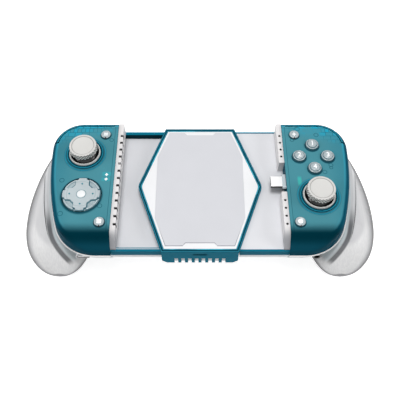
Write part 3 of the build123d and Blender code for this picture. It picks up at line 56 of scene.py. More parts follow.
def mesh_object(name, build, material, rounded=False):
    """New object whose mesh is filled by the given build function."""
    mesh = bpy.data.meshes.new(name)
    work = bmesh.new()
    build(work)
    work.to_mesh(mesh)
    work.free()
    for face in mesh.polygons:
        face.use_smooth = rounded
    mesh.materials.append(material)
    thing = bpy.data.objects.new(name, mesh)
    bpy.context.scene.collection.objects.link(thing)
    return thing


def wired(tree, kind, **feeds):
    """Node whose named inputs are set to values or fed by other nodes' outputs."""
    node = tree.nodes.new(kind)
    for name, feed in feeds.items():
        socket = node.inputs[name.replace("_", " ")]
        if isinstance(feed, bpy.types.NodeSocket):
            tree.links.new(feed, socket)
        else:
            socket.default_value = feed
    return node


def chain(tree, *steps):
    """Row of math nodes, each fed by the one before; a step is an operation and its values."""
    last = None
    for operation, *values in steps:
        node = tree.nodes.new("ShaderNodeMath")
        node.operation = operation
        feeds = ([last] if last else []) + list(values)
        for index, feed in enumerate(feeds):
            if isinstance(feed, (int, float)):
                node.inputs[index].default_value = feed
            else:
                tree.links.new(feed, node.inputs[index])
        last = node.outputs[0]
    return last


def new_material(name, **constants):
    """Node material, its tree and its Principled shader with some constants set."""
    material = bpy.data.materials.new(name)
    material.use_nodes = True
    shader = material.node_tree.nodes["Principled BSDF"]
    for socket, value in constants.items():
        shader.inputs[socket.replace("_", " ")].default_value = value
    return material, material.node_tree, shader


def seen_white(tree, strength):
    """Emission that only the camera, mirrors and clear pieces see."""
    path = tree.nodes.new("ShaderNodeLightPath").outputs
    return chain(
        tree, ("MAXIMUM", path["Is Camera Ray"], path["Is Glossy Ray"]),
        ("MAXIMUM", path["Is Transmission Ray"]), ("MULTIPLY", strength),
    )


floor_size = 3.0
floor_glow = 0.76
paper, tree, shader = new_material(
    "studio_paper", Base_Color=(0.8, 0.8, 0.8, 1), Roughness=0.9, Emission_Color=(1, 1, 1, 1),
)
tree.links.new(seen_white(tree, floor_glow), shader.inputs["Emission Strength"])
floor = mesh_object(
    "floor", lambda work: bmesh.ops.create_grid(work, x_segments=1, y_segments=1, size=floor_size), paper,
)

sky_light = 0.28
sky_seen = 0.72
world = bpy.data.worlds.new("studio")
bpy.context.scene.world = world
world.use_nodes = True
tree = world.node_tree
background = tree.nodes["Background"]
background.inputs["Color"].default_value = (1, 1, 1, 1)
strength = chain(tree, ("MULTIPLY_ADD", seen_white(tree, 1.0), sky_seen, sky_light))
tree.links.new(strength, background.inputs["Strength"])


def soft_lamp(name, place, size, power):
    """Square soft box aimed at the middle of the controller."""
    lamp = bpy.data.lights.new(name, "AREA")
    lamp.shape = "SQUARE"
    lamp.size = size
    lamp.energy = power
    holder = bpy.data.objects.new(name, lamp)
    holder.location = place
    holder.rotation_euler = (Vector((0, 0, 0.03)) - Vector(place)).to_track_quat("-Z", "Y").to_euler()
    bpy.context.scene.collection.objects.link(holder)


soft_lamp("top_box", (0, 0.05, 0.95), 0.4, 5.0)
soft_lamp("left_box", (-0.7, -0.1, 0.45), 0.3, 1.5)
soft_lamp("right_box", (0.7, -0.1, 0.45), 0.3, 1.5)


# Moulded surfaces
# Every plastic here is injection moulded: a fine spark-eroded grain, slight colour drift, and
# patches that a hand has rubbed a little smoother. One group gives all three.


def node_group(name, inputs, outputs, kind="ShaderNodeTree"):
    """Node group; an input is given by its value or, like an output, by its socket type."""
    tree = bpy.data.node_groups.new(name, kind)
    for socket, value in inputs.items():
        if isinstance(value, str):
            tree.interface.new_socket(socket, in_out="INPUT", socket_type=value)
            continue
        socket_type = "NodeSocketColor" if isinstance(value, tuple) else "NodeSocketFloat"
        tree.interface.new_socket(socket, in_out="INPUT", socket_type=socket_type).default_value = value
    for socket, socket_type in outputs.items():
        tree.interface.new_socket(socket, in_out="OUTPUT", socket_type=socket_type)
    return tree, tree.nodes.new("NodeGroupInput").outputs, tree.nodes.new("NodeGroupOutput").inputs


grain_group, entry, leave = node_group(
    "moulded_grain",
    {
        "Colour": (0.8, 0.8, 0.8, 1), "Drift": 0.05, "Grain Scale": 2500.0, "Rough": 0.4,
        "Rough Spread": 0.08, "Depth": 0.05,
    },
    {"Colour": "NodeSocketColor", "Roughness": "NodeSocketFloat", "Height": "NodeSocketFloat"},
)
drift_scale = 60
bump_strength = 0.3
bump_distance = 0.0002
place = grain_group.nodes.new("ShaderNodeTexCoord").outputs["Object"]
fine = wired(grain_group, "ShaderNodeTexNoise", Vector=place, Scale=entry["Grain Scale"], Detail=3).outputs["Fac"]
wide = wired(grain_group, "ShaderNodeTexNoise", Vector=place, Scale=drift_scale, Detail=2).outputs["Fac"]
shade = chain(grain_group, ("SUBTRACT", wide, 0.5), ("MULTIPLY_ADD", entry["Drift"], 1.0))
tinted = grain_group.nodes.new("ShaderNodeMix")
tinted.data_type = "RGBA"
tinted.blend_type = "MULTIPLY"
tinted.inputs["Factor"].default_value = 1.0
grain_group.links.new(entry["Colour"], tinted.inputs["A"])
grain_group.links.new(shade, tinted.inputs["B"])
grain_group.links.new(tinted.outputs["Result"], leave["Colour"])
rough = chain(grain_group, ("MULTIPLY_ADD", wide, entry["Rough Spread"], entry["Rough"]))
grain_group.links.new(rough, leave["Roughness"])
grain_group.links.new(chain(grain_group, ("MULTIPLY", fine, entry["Depth"])), leave["Height"])


def moulded(name, rough, colour=(1, 1, 1, 1), grain=0.05, scale=2500, drift=0.06, **constants):
    """Moulded plastic, rubber or metal with its grain."""
    material, tree, shader = new_material(name, **constants)
    group = tree.nodes.new("ShaderNodeGroup")
    group.node_tree = grain_group
    for socket, value in (
        ("Colour", colour), ("Drift", drift), ("Grain Scale", scale), ("Rough", rough), ("Depth", grain),
    ):
        group.inputs[socket].default_value = value
    bump = wired(
        tree, "ShaderNodeBump", Strength=bump_strength, Distance=bump_distance, Height=group.outputs["Height"],
    )
    tree.links.new(group.outputs["Colour"], shader.inputs["Base Color"])
    tree.links.new(group.outputs["Roughness"], shader.inputs["Roughness"])
    tree.links.new(bump.outputs["Normal"], shader.inputs["Normal"])
    return material


def paint(material, colour):
    """Feeds a colour that changes over the surface into a moulded material."""
    tree = material.node_tree
    tree.links.new(colour, tree.nodes["Group"].inputs["Colour"])


def dress(material, *names):
    """Gives CAD nodes their finish."""
    for name in names:
        thing = nodes[name]
        thing.data.materials.clear()
        thing.data.materials.append(material)


# Tinted shells and bumpers
# See-through tinted polycarbonate over pale and dark inner parts, satin outside, moulded and held
# by screws from the back. Painted shade darkens it where its wall turns away, round its keys and
# sticks, along its outer side and on its chin; painted light brightens its top edge.
stick_places = {"left": (-0.0737, 0.0191), "right": (0.0730, -0.0125)}
pad_centre = (-0.0729, -0.0116)
action_places = {
    "top": (0.0726, 0.0262), "inner": (0.0635, 0.0171), "outer": (0.0817, 0.0171), "bottom": (0.0726, 0.0080),
}
menu_places = {
    "left_upper": (-0.0617, 0.0344), "left_lower": (-0.0602, -0.0307),
    "right_upper": (0.0617, 0.0344), "right_lower": (0.0599, -0.0307),
}
window_panes = (
    (-0.0586, 0.0036, 0.0026, 0.0015), (-0.0588, -0.0002, 0.0026, 0.0013), (0.0622, -0.0016, 0.0011, 0.0030),
)
post_rings = (
    (0.0642, 0.0394, 0.0015), (0.0762, 0.0344, 0.0014), (0.0601, 0.0303, 0.0012), (0.0787, 0.0052, 0.0013),
    (0.0831, 0.0105, 0.0013), (0.0831, 0.0085, 0.0010), (-0.0577, 0.0303, 0.0012), (-0.0843, -0.0249, 0.0015),
    (-0.0862, -0.0010, 0.0014), (-0.0610, -0.0195, 0.0014),
)
post_line = 0.00022
jaw_strip = (0.0558, 0.00013)
bow_centre = (-0.09182, 0.02610)
bow_radius = 0.18902
rib_width = 0.0047
rib_height = 0.0031
rib_gap = 0.0002
rib_bend = (0.0035, 0.0012, 0)
bend_scale = 40
rib_shown = (0.44, 0.56)
rib_light = (0.35, 0.75)
lit_lean = 0.3
lit_band = (0.0510, 0.0640)
outer_band = (0.076, 0.092)
pad_well = (0.0129, 0.0007)
action_well = (0.00485, 0.0006)
menu_well = (0.0036, 0.0003)
collar_shade = (0.0126, 0.0142)
collar_glint_line = (0.01295, 0.00025)
collar_hole_shade = (0.0117, 0.0120)
collar_lip_glint = (0.01135, 0.00018)
turned_edge_highlight = (0.98, 0.998)
steep_wall = (0.84, 0.97)
upper_band = (-0.025, 0.030)
contour_band = (-0.0050, -0.0015)
contour_fade = (0.004, 0.030)
chin_band = (-0.0380, -0.0300)
chin_lip = (0.0375, 0.0432)
shell_cover = 0.93


def linear(code):
    """Linear colour from a hex code."""
    parts = [int(code[place:place + 2], 16) / 255 for place in (0, 2, 4)]
    return (*(part / 12.92 if part < 0.04 else ((part + 0.055) / 1.055) ** 2.4 for part in parts), 1)


def times(tree, first, *others):
    """Product of masks and shares."""
    return chain(tree, ("MULTIPLY", first, others[0]), *(("MULTIPLY", other) for other in others[1:]))


def inverse(tree, mask):
    """One minus a mask."""
    return chain(tree, ("SUBTRACT", 1.0, mask))


def ramp(tree, value, low, high):
    """Soft mask that rises from 0 at low to 1 at high."""
    node = wired(tree, "ShaderNodeMapRange", Value=value, From_Min=low, From_Max=high)
    node.interpolation_type = "SMOOTHSTEP"
    return node.outputs["Result"]


def fall(tree, value, low, high):
    """Soft mask that falls from 1 at low to 0 at high."""
    return inverse(tree, ramp(tree, value, low, high))


def line_at(tree, value, centre, half):
    """Thin soft line where a value is near its centre."""
    return fall(tree, chain(tree, ("SUBTRACT", value, centre), ("ABSOLUTE",)), half * 0.6, half * 1.4)


def either(tree, masks):
    """Largest of several masks."""
    return chain(tree, ("MAXIMUM", *masks[:2]), *(("MAXIMUM", mask) for mask in masks[2:]))


def box_mask(tree, along, away, x, y, half_x, half_y):
    """Soft upright rectangle."""
    return times(tree, line_at(tree, along, x, half_x), line_at(tree, away, y, half_y))


def blend(tree, mask, below, above):
    """Mix of two colours by a mask."""
    node = tree.nodes.new("ShaderNodeMix")
    node.data_type = "RGBA"
    for feed, socket in ((mask, "Factor"), (below, "A"), (above, "B")):
        if isinstance(feed, (int, float, tuple)):
            node.inputs[socket].default_value = feed
        else:
            tree.links.new(feed, node.inputs[socket])
    return node.outputs["Result"]


def layered(tree, colour, *layers):
    """A colour with others laid over it, each through its own mask."""
    for mask, above in layers:
        colour = blend(tree, mask, colour, above)
    return colour


def split(tree, source):
    """Three coordinates of a vector."""
    outputs = wired(tree, "ShaderNodeSeparateXYZ", Vector=source).outputs
    return outputs["X"], outputs["Y"], outputs["Z"]


def place_in(tree):
    """Object coordinates of the shaded point: the vector and its three parts."""
    place = tree.nodes.new("ShaderNodeTexCoord").outputs["Object"]
    return place, *split(tree, place)


def normal_in(tree):
    """Three parts of the shaded point's normal."""
    return split(tree, tree.nodes.new("ShaderNodeNewGeometry").outputs["Normal"])


def in_plan(tree, x, y):
    """Vector of a place seen from above."""
    return wired(tree, "ShaderNodeCombineXYZ", X=x, Y=y).outputs["Vector"]


def reach_from(tree, flat, centre):
    """Distance in plan from an upright axis."""
    node = tree.nodes.new("ShaderNodeVectorMath")
    node.operation = "DISTANCE"
    tree.links.new(flat, node.inputs[0])
    node.inputs[1].default_value = (*centre, 0)
    return node.outputs["Value"]


tint_group, entry, leave = node_group(
    "tint_depth",
    {
        "Face": linear("4E929F"), "Glow": linear("2BA6C4"), "Shade": linear("0A4655"),
        "Edge Shade": linear("05495D"), "Chin": linear("00303C"), "Line": linear("124B59"),
    },
    {"Colour": "NodeSocketColor", "Cover": "NodeSocketFloat"},
)
_, along, away, level = place_in(tint_group)
turn_z = normal_in(tint_group)[2]
flat = in_plan(tint_group, along, away)
outward = chain(tint_group, ("ABSOLUTE", along))

# ribs of the inside that show near the top edge, under painted light that brightens the shell there
wobble = wired(tint_group, "ShaderNodeTexNoise", Vector=flat, Scale=bend_scale).outputs
bent = tint_group.nodes.new("ShaderNodeVectorMath")
bent.operation = "MULTIPLY_ADD"
tint_group.links.new(wobble["Color"], bent.inputs[0])
bent.inputs[1].default_value = rib_bend
tint_group.links.new(flat, bent.inputs[2])
ribs = wired(
    tint_group, "ShaderNodeTexBrick", Vector=bent.outputs["Vector"], Color1=(0, 0, 0, 1), Color2=(1, 1, 1, 1),
    Mortar=(0.5, 0.5, 0.5, 1), Scale=1.0, Mortar_Size=rib_gap, Mortar_Smooth=0.4, Bias=0.0,
    Brick_Width=rib_width, Row_Height=rib_height,
)
ribs.offset = 0.37
ribs.squash = 0.55
ribs.squash_frequency = 3
rib_tone = split(tint_group, ribs.outputs["Color"])[0]
rib_lines = times(tint_group, ribs.outputs["Fac"], ramp(tint_group, wobble["Fac"], *rib_shown))
lit = ramp(tint_group, chain(tint_group, ("MULTIPLY_ADD", outward, lit_lean, away)), *lit_band)
lit_ribs = times(tint_group, lit, ramp(tint_group, rib_tone, *rib_light))
glow = chain(tint_group, ("MULTIPLY_ADD", lit_ribs, 0.7, times(tint_group, lit, 0.3)))

# rings of posts, lit panes, and painted shade round the keys and the pad
posts = [line_at(tint_group, reach_from(tint_group, flat, (x, y)), radius, post_line) for x, y, radius in post_rings]
panes = [box_mask(tint_group, along, away, *pane) for pane in window_panes]
wells = [(pad_centre, *pad_well)]
wells += [(centre, *action_well) for centre in action_places.values()]
wells += [(centre, *menu_well) for centre in menu_places.values()]
shades = [
    fall(tint_group, reach_from(tint_group, flat, (x, y - drop)), radius * 0.95, radius * 1.07)
    for (x, y), radius, drop in wells
]
mixed = layered(
    tint_group, entry["Face"],
    (times(tint_group, ramp(tint_group, outward, *outer_band), 0.45), linear("2F8094")),
    (glow, entry["Glow"]),
    (times(tint_group, rib_lines, lit, 0.75), entry["Line"]),
    (times(tint_group, either(tint_group, posts), 0.6), entry["Line"]),
    (times(tint_group, line_at(tint_group, outward, *jaw_strip), 0.7), entry["Shade"]),
    (times(tint_group, either(tint_group, panes), 0.65), linear("3CB0BA")),
    (times(tint_group, panes[2], 0.6), linear("4CC0B4")),
    (times(tint_group, either(tint_group, shades), 0.9), entry["Shade"]),
)
# painted shade round each stick's collar and hole, with two thin rings of painted highlight
for centre in stick_places.values():
    reach = reach_from(tint_group, flat, centre)
    mixed = layered(
        tint_group, mixed,
        (times(tint_group, fall(tint_group, reach, *collar_shade), 0.55), entry["Edge Shade"]),
        (times(tint_group, line_at(tint_group, reach, *collar_glint_line), 0.8), entry["Glow"]),
        (fall(tint_group, reach, *collar_hole_shade), entry["Shade"]),
        (times(tint_group, line_at(tint_group, reach, *collar_lip_glint), 0.9), entry["Glow"]),
    )

# painted highlight on the turned edges; painted shade on steep walls, by the grip and on the chin, lighter at its
# low edge
upper_part = chain(tint_group, ("MULTIPLY_ADD", ramp(tint_group, away, *upper_band), 0.8, 0.2))
steep = fall(tint_group, turn_z, *steep_wall)
bow_reach = reach_from(tint_group, in_plan(tint_group, outward, away), bow_centre)
bow_gap = chain(tint_group, ("SUBTRACT", bow_reach, bow_radius))
contour_shade = times(tint_group, ramp(tint_group, bow_gap, *contour_band), fall(tint_group, away, *contour_fade), 0.9)
chin = fall(tint_group, away, *chin_band)
below_lip = times(tint_group, fall(tint_group, level, *chin_lip), 0.9)
mixed = layered(
    tint_group, mixed,
    (times(tint_group, fall(tint_group, turn_z, *turned_edge_highlight), 0.5, upper_part), entry["Glow"]),
    (steep, entry["Edge Shade"]), (contour_shade, linear("0A5064")),
    (chin, blend(tint_group, below_lip, entry["Chin"], linear("0F4A5C"))),
)
tint_group.links.new(mixed, leave["Colour"])
cover = chain(tint_group, ("MAXIMUM", steep, chin), ("MULTIPLY_ADD", 1 - shell_cover, shell_cover))
tint_group.links.new(cover, leave["Cover"])

tinted_shell = moulded("tinted_polycarbonate", 0.24, grain=0.3, scale=5000, drift=0.16, Specular_IOR_Level=0.008)
tree = tinted_shell.node_tree
depth = tree.nodes.new("ShaderNodeGroup")
depth.node_tree = tint_group
paint(tinted_shell, depth.outputs["Colour"])
tree.links.new(depth.outputs["Cover"], tree.nodes["Principled BSDF"].inputs["Alpha"])
dress(tinted_shell, "left_front_shell", "right_front_shell", "left_bumper", "right_bumper")

# Arm frames
# Tinted satin plastic rails, moulded, that slide through the bridge. The near rail has a pale
# groove on its top, and the far one a painted highlight on its upper edge over painted shade on its
# inner wall; their sides are painted a little darker than their tops, as painted shade.
near_groove = (-0.0433, 0.00022)
far_edge_highlight = (0.04475, 0.00035)
far_part = (0.0, 0.001)
rail_top = (0.4, 0.8)
rail_plastic = moulded("rail_plastic", 0.3, Specular_IOR_Level=0.015)
tree = rail_plastic.node_tree
_, along, away, level = place_in(tree)
top = ramp(tree, normal_in(tree)[2], *rail_top)
paint(rail_plastic, layered(
    tree, blend(tree, top, linear("0B6C84"), linear("0F7089")),
    (times(tree, ramp(tree, away, *far_part), inverse(tree, top)), linear("04313C")),
    (times(tree, line_at(tree, away, *near_groove), top), linear("D5DDE0")),
    (line_at(tree, away, *far_edge_highlight), linear("2C9CB6")),
))
dress(rail_plastic, "left_arm_frame", "right_arm_frame")

# Bridge frame
# Hexagonal ring with two vented walls, moulded in the same tinted plastic. Thin lines of painted
# shade mark a fine groove in its top and its outer edge, beside a glinting bead of painted highlight;
# its walls are painted darker than its top as painted shade, and painted shade fills their small
# latch recess.
bead_line = (-0.0019, 0.0003)
groove_line = (-0.00118, 0.00042)
outer_line = (0.0, 0.00022)
latch_box = (0.0, 0.0326, 0.0041, 0.0009)
latch_face = (0.0448, 0.0454)
glint_scale = 70
glint_band = (0.45, 0.6)
ring_top = (0.6, 0.9)
side_stretch = 1.0613
ring_group, entry, leave = node_group(
    "ring_lines",
    {
        "Colour": linear("2A7F96"), "Line": linear("063B4A"), "Bead Glint": linear("3FB4CC"), "Wall": linear("0B748D"),
        "Half Height": 0.0464, "Half Width": 0.0398, "Lean": 0.3556,
    },
    {"Colour": "NodeSocketColor"},
)
place, along, away, level = place_in(ring_group)
half_y = chain(ring_group, ("ABSOLUTE", away))
flat_gap = chain(ring_group, ("SUBTRACT", half_y, entry["Half Height"]))
side_gap = chain(ring_group, ("ABSOLUTE", along), ("SUBTRACT", entry["Half Width"]))
side_gap = chain(ring_group, ("MULTIPLY_ADD", half_y, entry["Lean"], side_gap), ("DIVIDE", side_stretch))
depth_in = chain(ring_group, ("MAXIMUM", flat_gap, side_gap))
glint = wired(ring_group, "ShaderNodeTexNoise", Vector=place, Scale=glint_scale).outputs["Fac"]
bead = times(ring_group, line_at(ring_group, depth_in, *bead_line), ramp(ring_group, glint, *glint_band))
groove = either(ring_group, [line_at(ring_group, depth_in, *line) for line in (groove_line, outer_line)])
latch = box_mask(ring_group, along, level, *latch_box)
latch = times(ring_group, latch, ramp(ring_group, half_y, *latch_face), 0.85)
top_colour = layered(ring_group, entry["Colour"], (bead, entry["Bead Glint"]), (groove, entry["Line"]))
wall_colour = blend(ring_group, latch, entry["Wall"], entry["Line"])
top = ramp(ring_group, normal_in(ring_group)[2], *ring_top)
ring_group.links.new(blend(ring_group, top, wall_colour, top_colour), leave["Colour"])

ring_plastic = moulded("ring_plastic", 0.3, Specular_IOR_Level=0.015)
lines = ring_plastic.node_tree.nodes.new("ShaderNodeGroup")
lines.node_tree = ring_group
paint(ring_plastic, lines.outputs["Colour"])
dress(ring_plastic, "bridge_frame")

# Back shells with their grips
# Pale pearly plastic, glossy on the lobes, with painted sheen in light streaks and painted shade
# towards their turned-away edges. A white rim stands beside the tinted shell; the hollow band behind
# it carries painted shade on its wall, its ledge and along its step, and a teal-grey tone beside the
# rim. Moulded in one piece, screwed from below.
rim_band = (0.0306, 0.0311)
shelf_level = 0.0278
shelf_gap = (0.0001, 0.0004)
shelf_turn = (0.5, 0.9)
corner_centre = (0.06346, -0.01910)
corner_radius = 0.0273
bow_end = (-0.02693, -0.02653)
streak_stretch = (1600, 30, 900)
streak_band = (0.3, 0.7)
edge_shade_grey = (0.24, 0.46)
edge_shade_dark = (0.40, 0.62)
lobe_facing = (0.2, 0.4)
wall_level = (0.0278, 0.0285)
wall_reach = (0.0030, 0.0042)
lobe_level = (0.0270, 0.0285)
lobe_reach = (0.0042, 0.0060)
shelf_reach = (0.0040, 0.0050)
beside_reach = (0.0026, 0.0032)
upper_level = (0.018, 0.022)
step_shadow_line = (0.0043, 0.0014)
step_top = (-0.026, -0.008)
step_foot = (-0.0520, -0.0475)
grip_plastic = moulded("grip_plastic", 0.24, grain=0.25, scale=1500, Specular_IOR_Level=0.16)
tree = grip_plastic.node_tree
place, along, away, level = place_in(tree)
turned_off = wired(tree, "ShaderNodeLayerWeight", Blend=0.35).outputs["Facing"]
stretch = wired(tree, "ShaderNodeMapping", Vector=place, Scale=streak_stretch).outputs["Vector"]
streak = wired(tree, "ShaderNodeTexNoise", Vector=stretch, Scale=1, Detail=4).outputs["Fac"]
flat = in_plan(tree, chain(tree, ("ABSOLUTE", along)), away)
corner_gap = chain(tree, ("SUBTRACT", reach_from(tree, flat, corner_centre), corner_radius))
bow_gap = chain(tree, ("SUBTRACT", reach_from(tree, flat, bow_centre), bow_radius))
on_bow = ramp(tree, away, *bow_end)
rim_gap = chain(tree, ("MULTIPLY_ADD", bow_gap, on_bow, times(tree, corner_gap, inverse(tree, on_bow))))
rim = ramp(tree, level, *rim_band)
off_shelf = chain(tree, ("SUBTRACT", level, shelf_level), ("ABSOLUTE",))
shelf = times(tree, fall(tree, off_shelf, *shelf_gap), ramp(tree, normal_in(tree)[2], *shelf_turn))
wall = times(tree, ramp(tree, level, *wall_level), inverse(tree, rim))
lobe = times(
    tree, ramp(tree, level, *lobe_level), ramp(tree, rim_gap, *lobe_reach), fall(tree, turned_off, *lobe_facing),
)
upper = ramp(tree, level, *upper_level)
beside = times(tree, fall(tree, rim_gap, *beside_reach), inverse(tree, rim), upper)
step = times(
    tree, line_at(tree, rim_gap, *step_shadow_line), fall(tree, away, *step_top), ramp(tree, away, *step_foot), upper, 0.85,
)
# painted sheen in the lighter streaks; painted shade towards the turned-away edges, on the wall and ledge by the rim
# and along the step
paint(grip_plastic, layered(
    tree, blend(tree, ramp(tree, streak, *streak_band), linear("DFDFE0"), linear("E8E8E8")),
    (ramp(tree, turned_off, *edge_shade_grey), linear("B0B0B3")),
    (ramp(tree, turned_off, *edge_shade_dark), linear("3C3C3F")),
    (times(tree, wall, fall(tree, rim_gap, *wall_reach)), linear("BCBDC0")),
    (times(tree, lobe, 0.8), linear("CCCCCE")),
    (times(tree, shelf, fall(tree, rim_gap, *shelf_reach)), linear("C6C7C9")),
    (times(tree, beside, 0.8), linear("BCC6C9")),
    (step, linear("505256")),
    (rim, linear("F4F1F0")),
))
dress(grip_plastic, "left_back_shell", "right_back_shell")

# Back plates, bridge plate, cover and triggers
# Thin off-white mouldings: the plates are snapped and screwed to the frames, and the triggers
# turn on pins moulded on their ends.
pale_shell = moulded("pale_plastic", 0.35, linear("EDEEF0"))
dress(
    pale_shell, "left_arm_back", "right_arm_back", "left_trigger", "right_trigger", "bridge_plate", "bridge_cover",
)

# Arm panels
# Grey satin floor plates of the two arms, moulded with ribs below: the right one is the tongue
# that runs into the left one's tray.
panel_grey = moulded("panel_plastic", 0.4, linear("DCDDE1"))
dress(panel_grey, "left_arm_panel", "right_arm_panel")

# Phone rest
# Soft matt silicone pad, glued on the bridge plate. A thin line of painted shadow runs along its
# low edge and the ends of its slanted sides, against the white plate.
pad_edge_low = -0.0422
tab_rise = 0.002
tab_end = (0.0087, 0.0106)
slant_lean = 0.3556
slant_start = 0.03601
low_shadow = (0.0001, 0.00024)
side_shadow = (-0.0001, 0.0002)
side_shadow_end = (-0.040, -0.028)
grey_pad = moulded("pad_silicone", 0.6)
tree = grey_pad.node_tree
_, along, away, level = place_in(tree)
outward = chain(tree, ("ABSOLUTE", along))
low_edge = chain(tree, ("MULTIPLY_ADD", fall(tree, outward, *tab_end), tab_rise, pad_edge_low))
low_line = line_at(tree, chain(tree, ("SUBTRACT", away, low_edge)), *low_shadow)
slant = chain(tree, ("MULTIPLY_ADD", away, slant_lean, slant_start))
side_line = line_at(tree, chain(tree, ("SUBTRACT", outward, slant)), *side_shadow)
edge_shadow = either(tree, [low_line, times(tree, side_line, fall(tree, away, *side_shadow_end))])
paint(grey_pad, blend(tree, times(tree, edge_shadow, 0.8), linear("D2D3D8"), linear("6E6C7C")))
dress(grey_pad, "bridge_pad")

# Phone pads
# Soft white strips that hold the phone's ends, moulded and pressed on the frames' roots. Their
# notches and holes are painted dark inside as painted shade, and painted shade turns them grey
# towards the chin.
notch_band = (0.0431, 0.0437)
face_band = (0.05056, 0.05066)
lowest_notch = (-0.0335, -0.0325)
block_end = (0.0130, 0.0007)
pad_end = (0.0436, 0.0438)
chin_shade_band = (-0.0400, -0.0325)
soft_pad = moulded("jaw_silicone", 0.45)
tree = soft_pad.node_tree
_, along, away, level = place_in(tree)
inboard = chain(tree, ("ABSOLUTE", along))
hollow = times(
    tree, fall(tree, level, *notch_band), ramp(tree, inboard, *face_band), ramp(tree, away, *lowest_notch),
    inverse(tree, line_at(tree, away, *block_end)), fall(tree, away, *pad_end),
)
paint(soft_pad, layered(
    tree, blend(tree, fall(tree, away, *chin_shade_band), linear("E4E2E2"), linear("A2A3A7")), (hollow, linear("4A4648")),
))
dress(soft_pad, "left_phone_pad", "right_phone_pad")

# Stick stems and yokes, pad pivot, audio socket
# Black glossy mouldings: the domed stems and yokes turn in the stick cases, the pivot plate
# carries the direction pad, and the audio socket is soldered to its board.
stick_dark = moulded("dark_plastic", 0.12, (0.008, 0.010, 0.011, 1))
dress(
    stick_dark, "left_stick_stem", "right_stick_stem", "left_stick_yoke", "right_stick_yoke", "dpad_pivot",
    "audio_jack",
)

# Racks and pinion
# Undyed acetal mouldings: each rack is part of one arm, and both mesh with the pinion on the
# bridge's axle.
gear_white = moulded("gear_plastic", 0.4, (0.75, 0.75, 0.7, 1))
dress(gear_white, "left_rack", "right_rack", "pinion")

# Axle, springs, screws, charging socket and stick cases
# Plated steel: turned axle, wound springs, rolled screws, and the pressed cases of the sticks
# and of the charging socket.
steel = moulded("plated_steel", 0.22, (0.6, 0.6, 0.61, 1), Metallic=1.0)
dress(
    steel, "pinion_axle", "spiral_spring", "charge_socket", "left_screws", "right_screws",
    "left_trigger_spring", "right_trigger_spring", "left_stick_case", "right_stick_case",
)

# Circuit boards
# Lacquered glass-fibre boards, etched and drilled, on posts of the back shells. They carry the
# contacts of the keys.
board_green = moulded("board_lacquer", 0.3, (0.02, 0.10, 0.09, 1))
dress(board_green, "left_board", "right_board")

# Switch mats
# Grey silicone mats, moulded in one piece and laid over the boards' contacts. The keys press on
# them.
mat_grey = moulded("switch_mat", 0.5, (0.5, 0.52, 0.53, 1))
dress(mat_grey, "left_membrane", "right_membrane")

# Indicator windows
# Two small light guides of milky plastic, moulded, and pressed into the left front shell from
# behind.
window_white = moulded("window_white", 0.3, linear("F6FBFC"))
dress(window_white, "indicator_windows")

# Phone plug
# Plated steel tongue shell, drawn and pressed in its holder. Its top is painted white as a painted
# reflection, and its front and its lower half are painted black as painted shade.
plug_shade = (0.0411, 0.0415)
plug_front = (-0.85, -0.55)
plug_metal = moulded("plug_metal", 0.25)
tree = plug_metal.node_tree
_, along, away, level = place_in(tree)
front = fall(tree, normal_in(tree)[1], *plug_front)
bright = times(tree, ramp(tree, level, *plug_shade), inverse(tree, front))
paint(plug_metal, blend(tree, bright, (0.006, 0.006, 0.008, 1), linear("FDFDFD")))
dress(plug_metal, "usb_plug")

# Plug holder
# Small glossy plastic block, moulded round the plug, that rocks between the right phone pads. Its
# lower part is painted dark teal as painted shade, in the gap beside them.
holder_shade = (0.0409, 0.0412)
holder_plastic = moulded("holder_plastic", 0.15)
tree = holder_plastic.node_tree
_, along, away, level = place_in(tree)
paint(holder_plastic, blend(tree, ramp(tree, level, *holder_shade), linear("06303A"), linear("C9D3D8")))
dress(holder_plastic, "plug_holder")

# Stick caps
# Soft-touch moulded discs pressed on the stick shafts: a shallow dish on top, a rounded rim, and
# a diamond knurl round the side, which draws in a little towards the top.
cap_low = 0.0509
cap_high = 0.0546
cap_steps = 272
side_rows = 22
side_radius = 0.00882
side_draw = 0.00030
rim_rows = 8
rim_radius = 0.00850
rim_draw = 0.00080
rim_level = 0.0538
knurl_turns = 34
knurl_climb = 3600
knurl_depth = 0.00022
knurl_start = 0.04
knurl_end = 0.78
knurl_fade = 0.06
knurl_reach = 0.0076
cap_foot = [(0.0040, cap_low - 0.0010), (0.0041, cap_low), (0.0070, cap_low), (0.0084, cap_low + 0.0001)]
cap_dish = [
    (0.0074, 0.05456), (0.0071, 0.05438), (0.0068, 0.05416), (0.0060, 0.05400), (0.0045, 0.05388), (0.0022, 0.05380),
]
dish_low = 0.05378
cap_part = (0.0485, 0.0490)
side_turn = (0.35, 0.75)
valley_band = (0.30, 0.80)
rim_part = (0.0538, 0.0540)
rim_shade_line = (0.00695, 0.00022)
thread_turns = 14.0
stick_white = moulded("stick_rubber", 0.45)
tree = stick_white.node_tree
_, along, away, level = place_in(tree)
flat = in_plan(tree, along, away)
(left_x, left_y), (right_x, right_y) = stick_places.values()
reach = chain(tree, ("MINIMUM", *(reach_from(tree, flat, centre) for centre in stick_places.values())))
is_left = chain(tree, ("LESS_THAN", along, 0.0))
middle_x = chain(tree, ("MULTIPLY_ADD", is_left, left_x - right_x, right_x))
middle_y = chain(tree, ("MULTIPLY_ADD", is_left, left_y - right_y, right_y))
bearing = chain(
    tree, ("ARCTAN2", chain(tree, ("SUBTRACT", away, middle_y)), chain(tree, ("SUBTRACT", along, middle_x))),
)
climb = chain(tree, ("MULTIPLY", level, knurl_climb / 2))
threads = [
    chain(tree, ("MULTIPLY_ADD", bearing, way * thread_turns, climb), ("SINE",), ("ABSOLUTE",)) for way in (1, -1)
]
cap_side = times(tree, fall(tree, normal_in(tree)[2], *side_turn), ramp(tree, level, *cap_part))
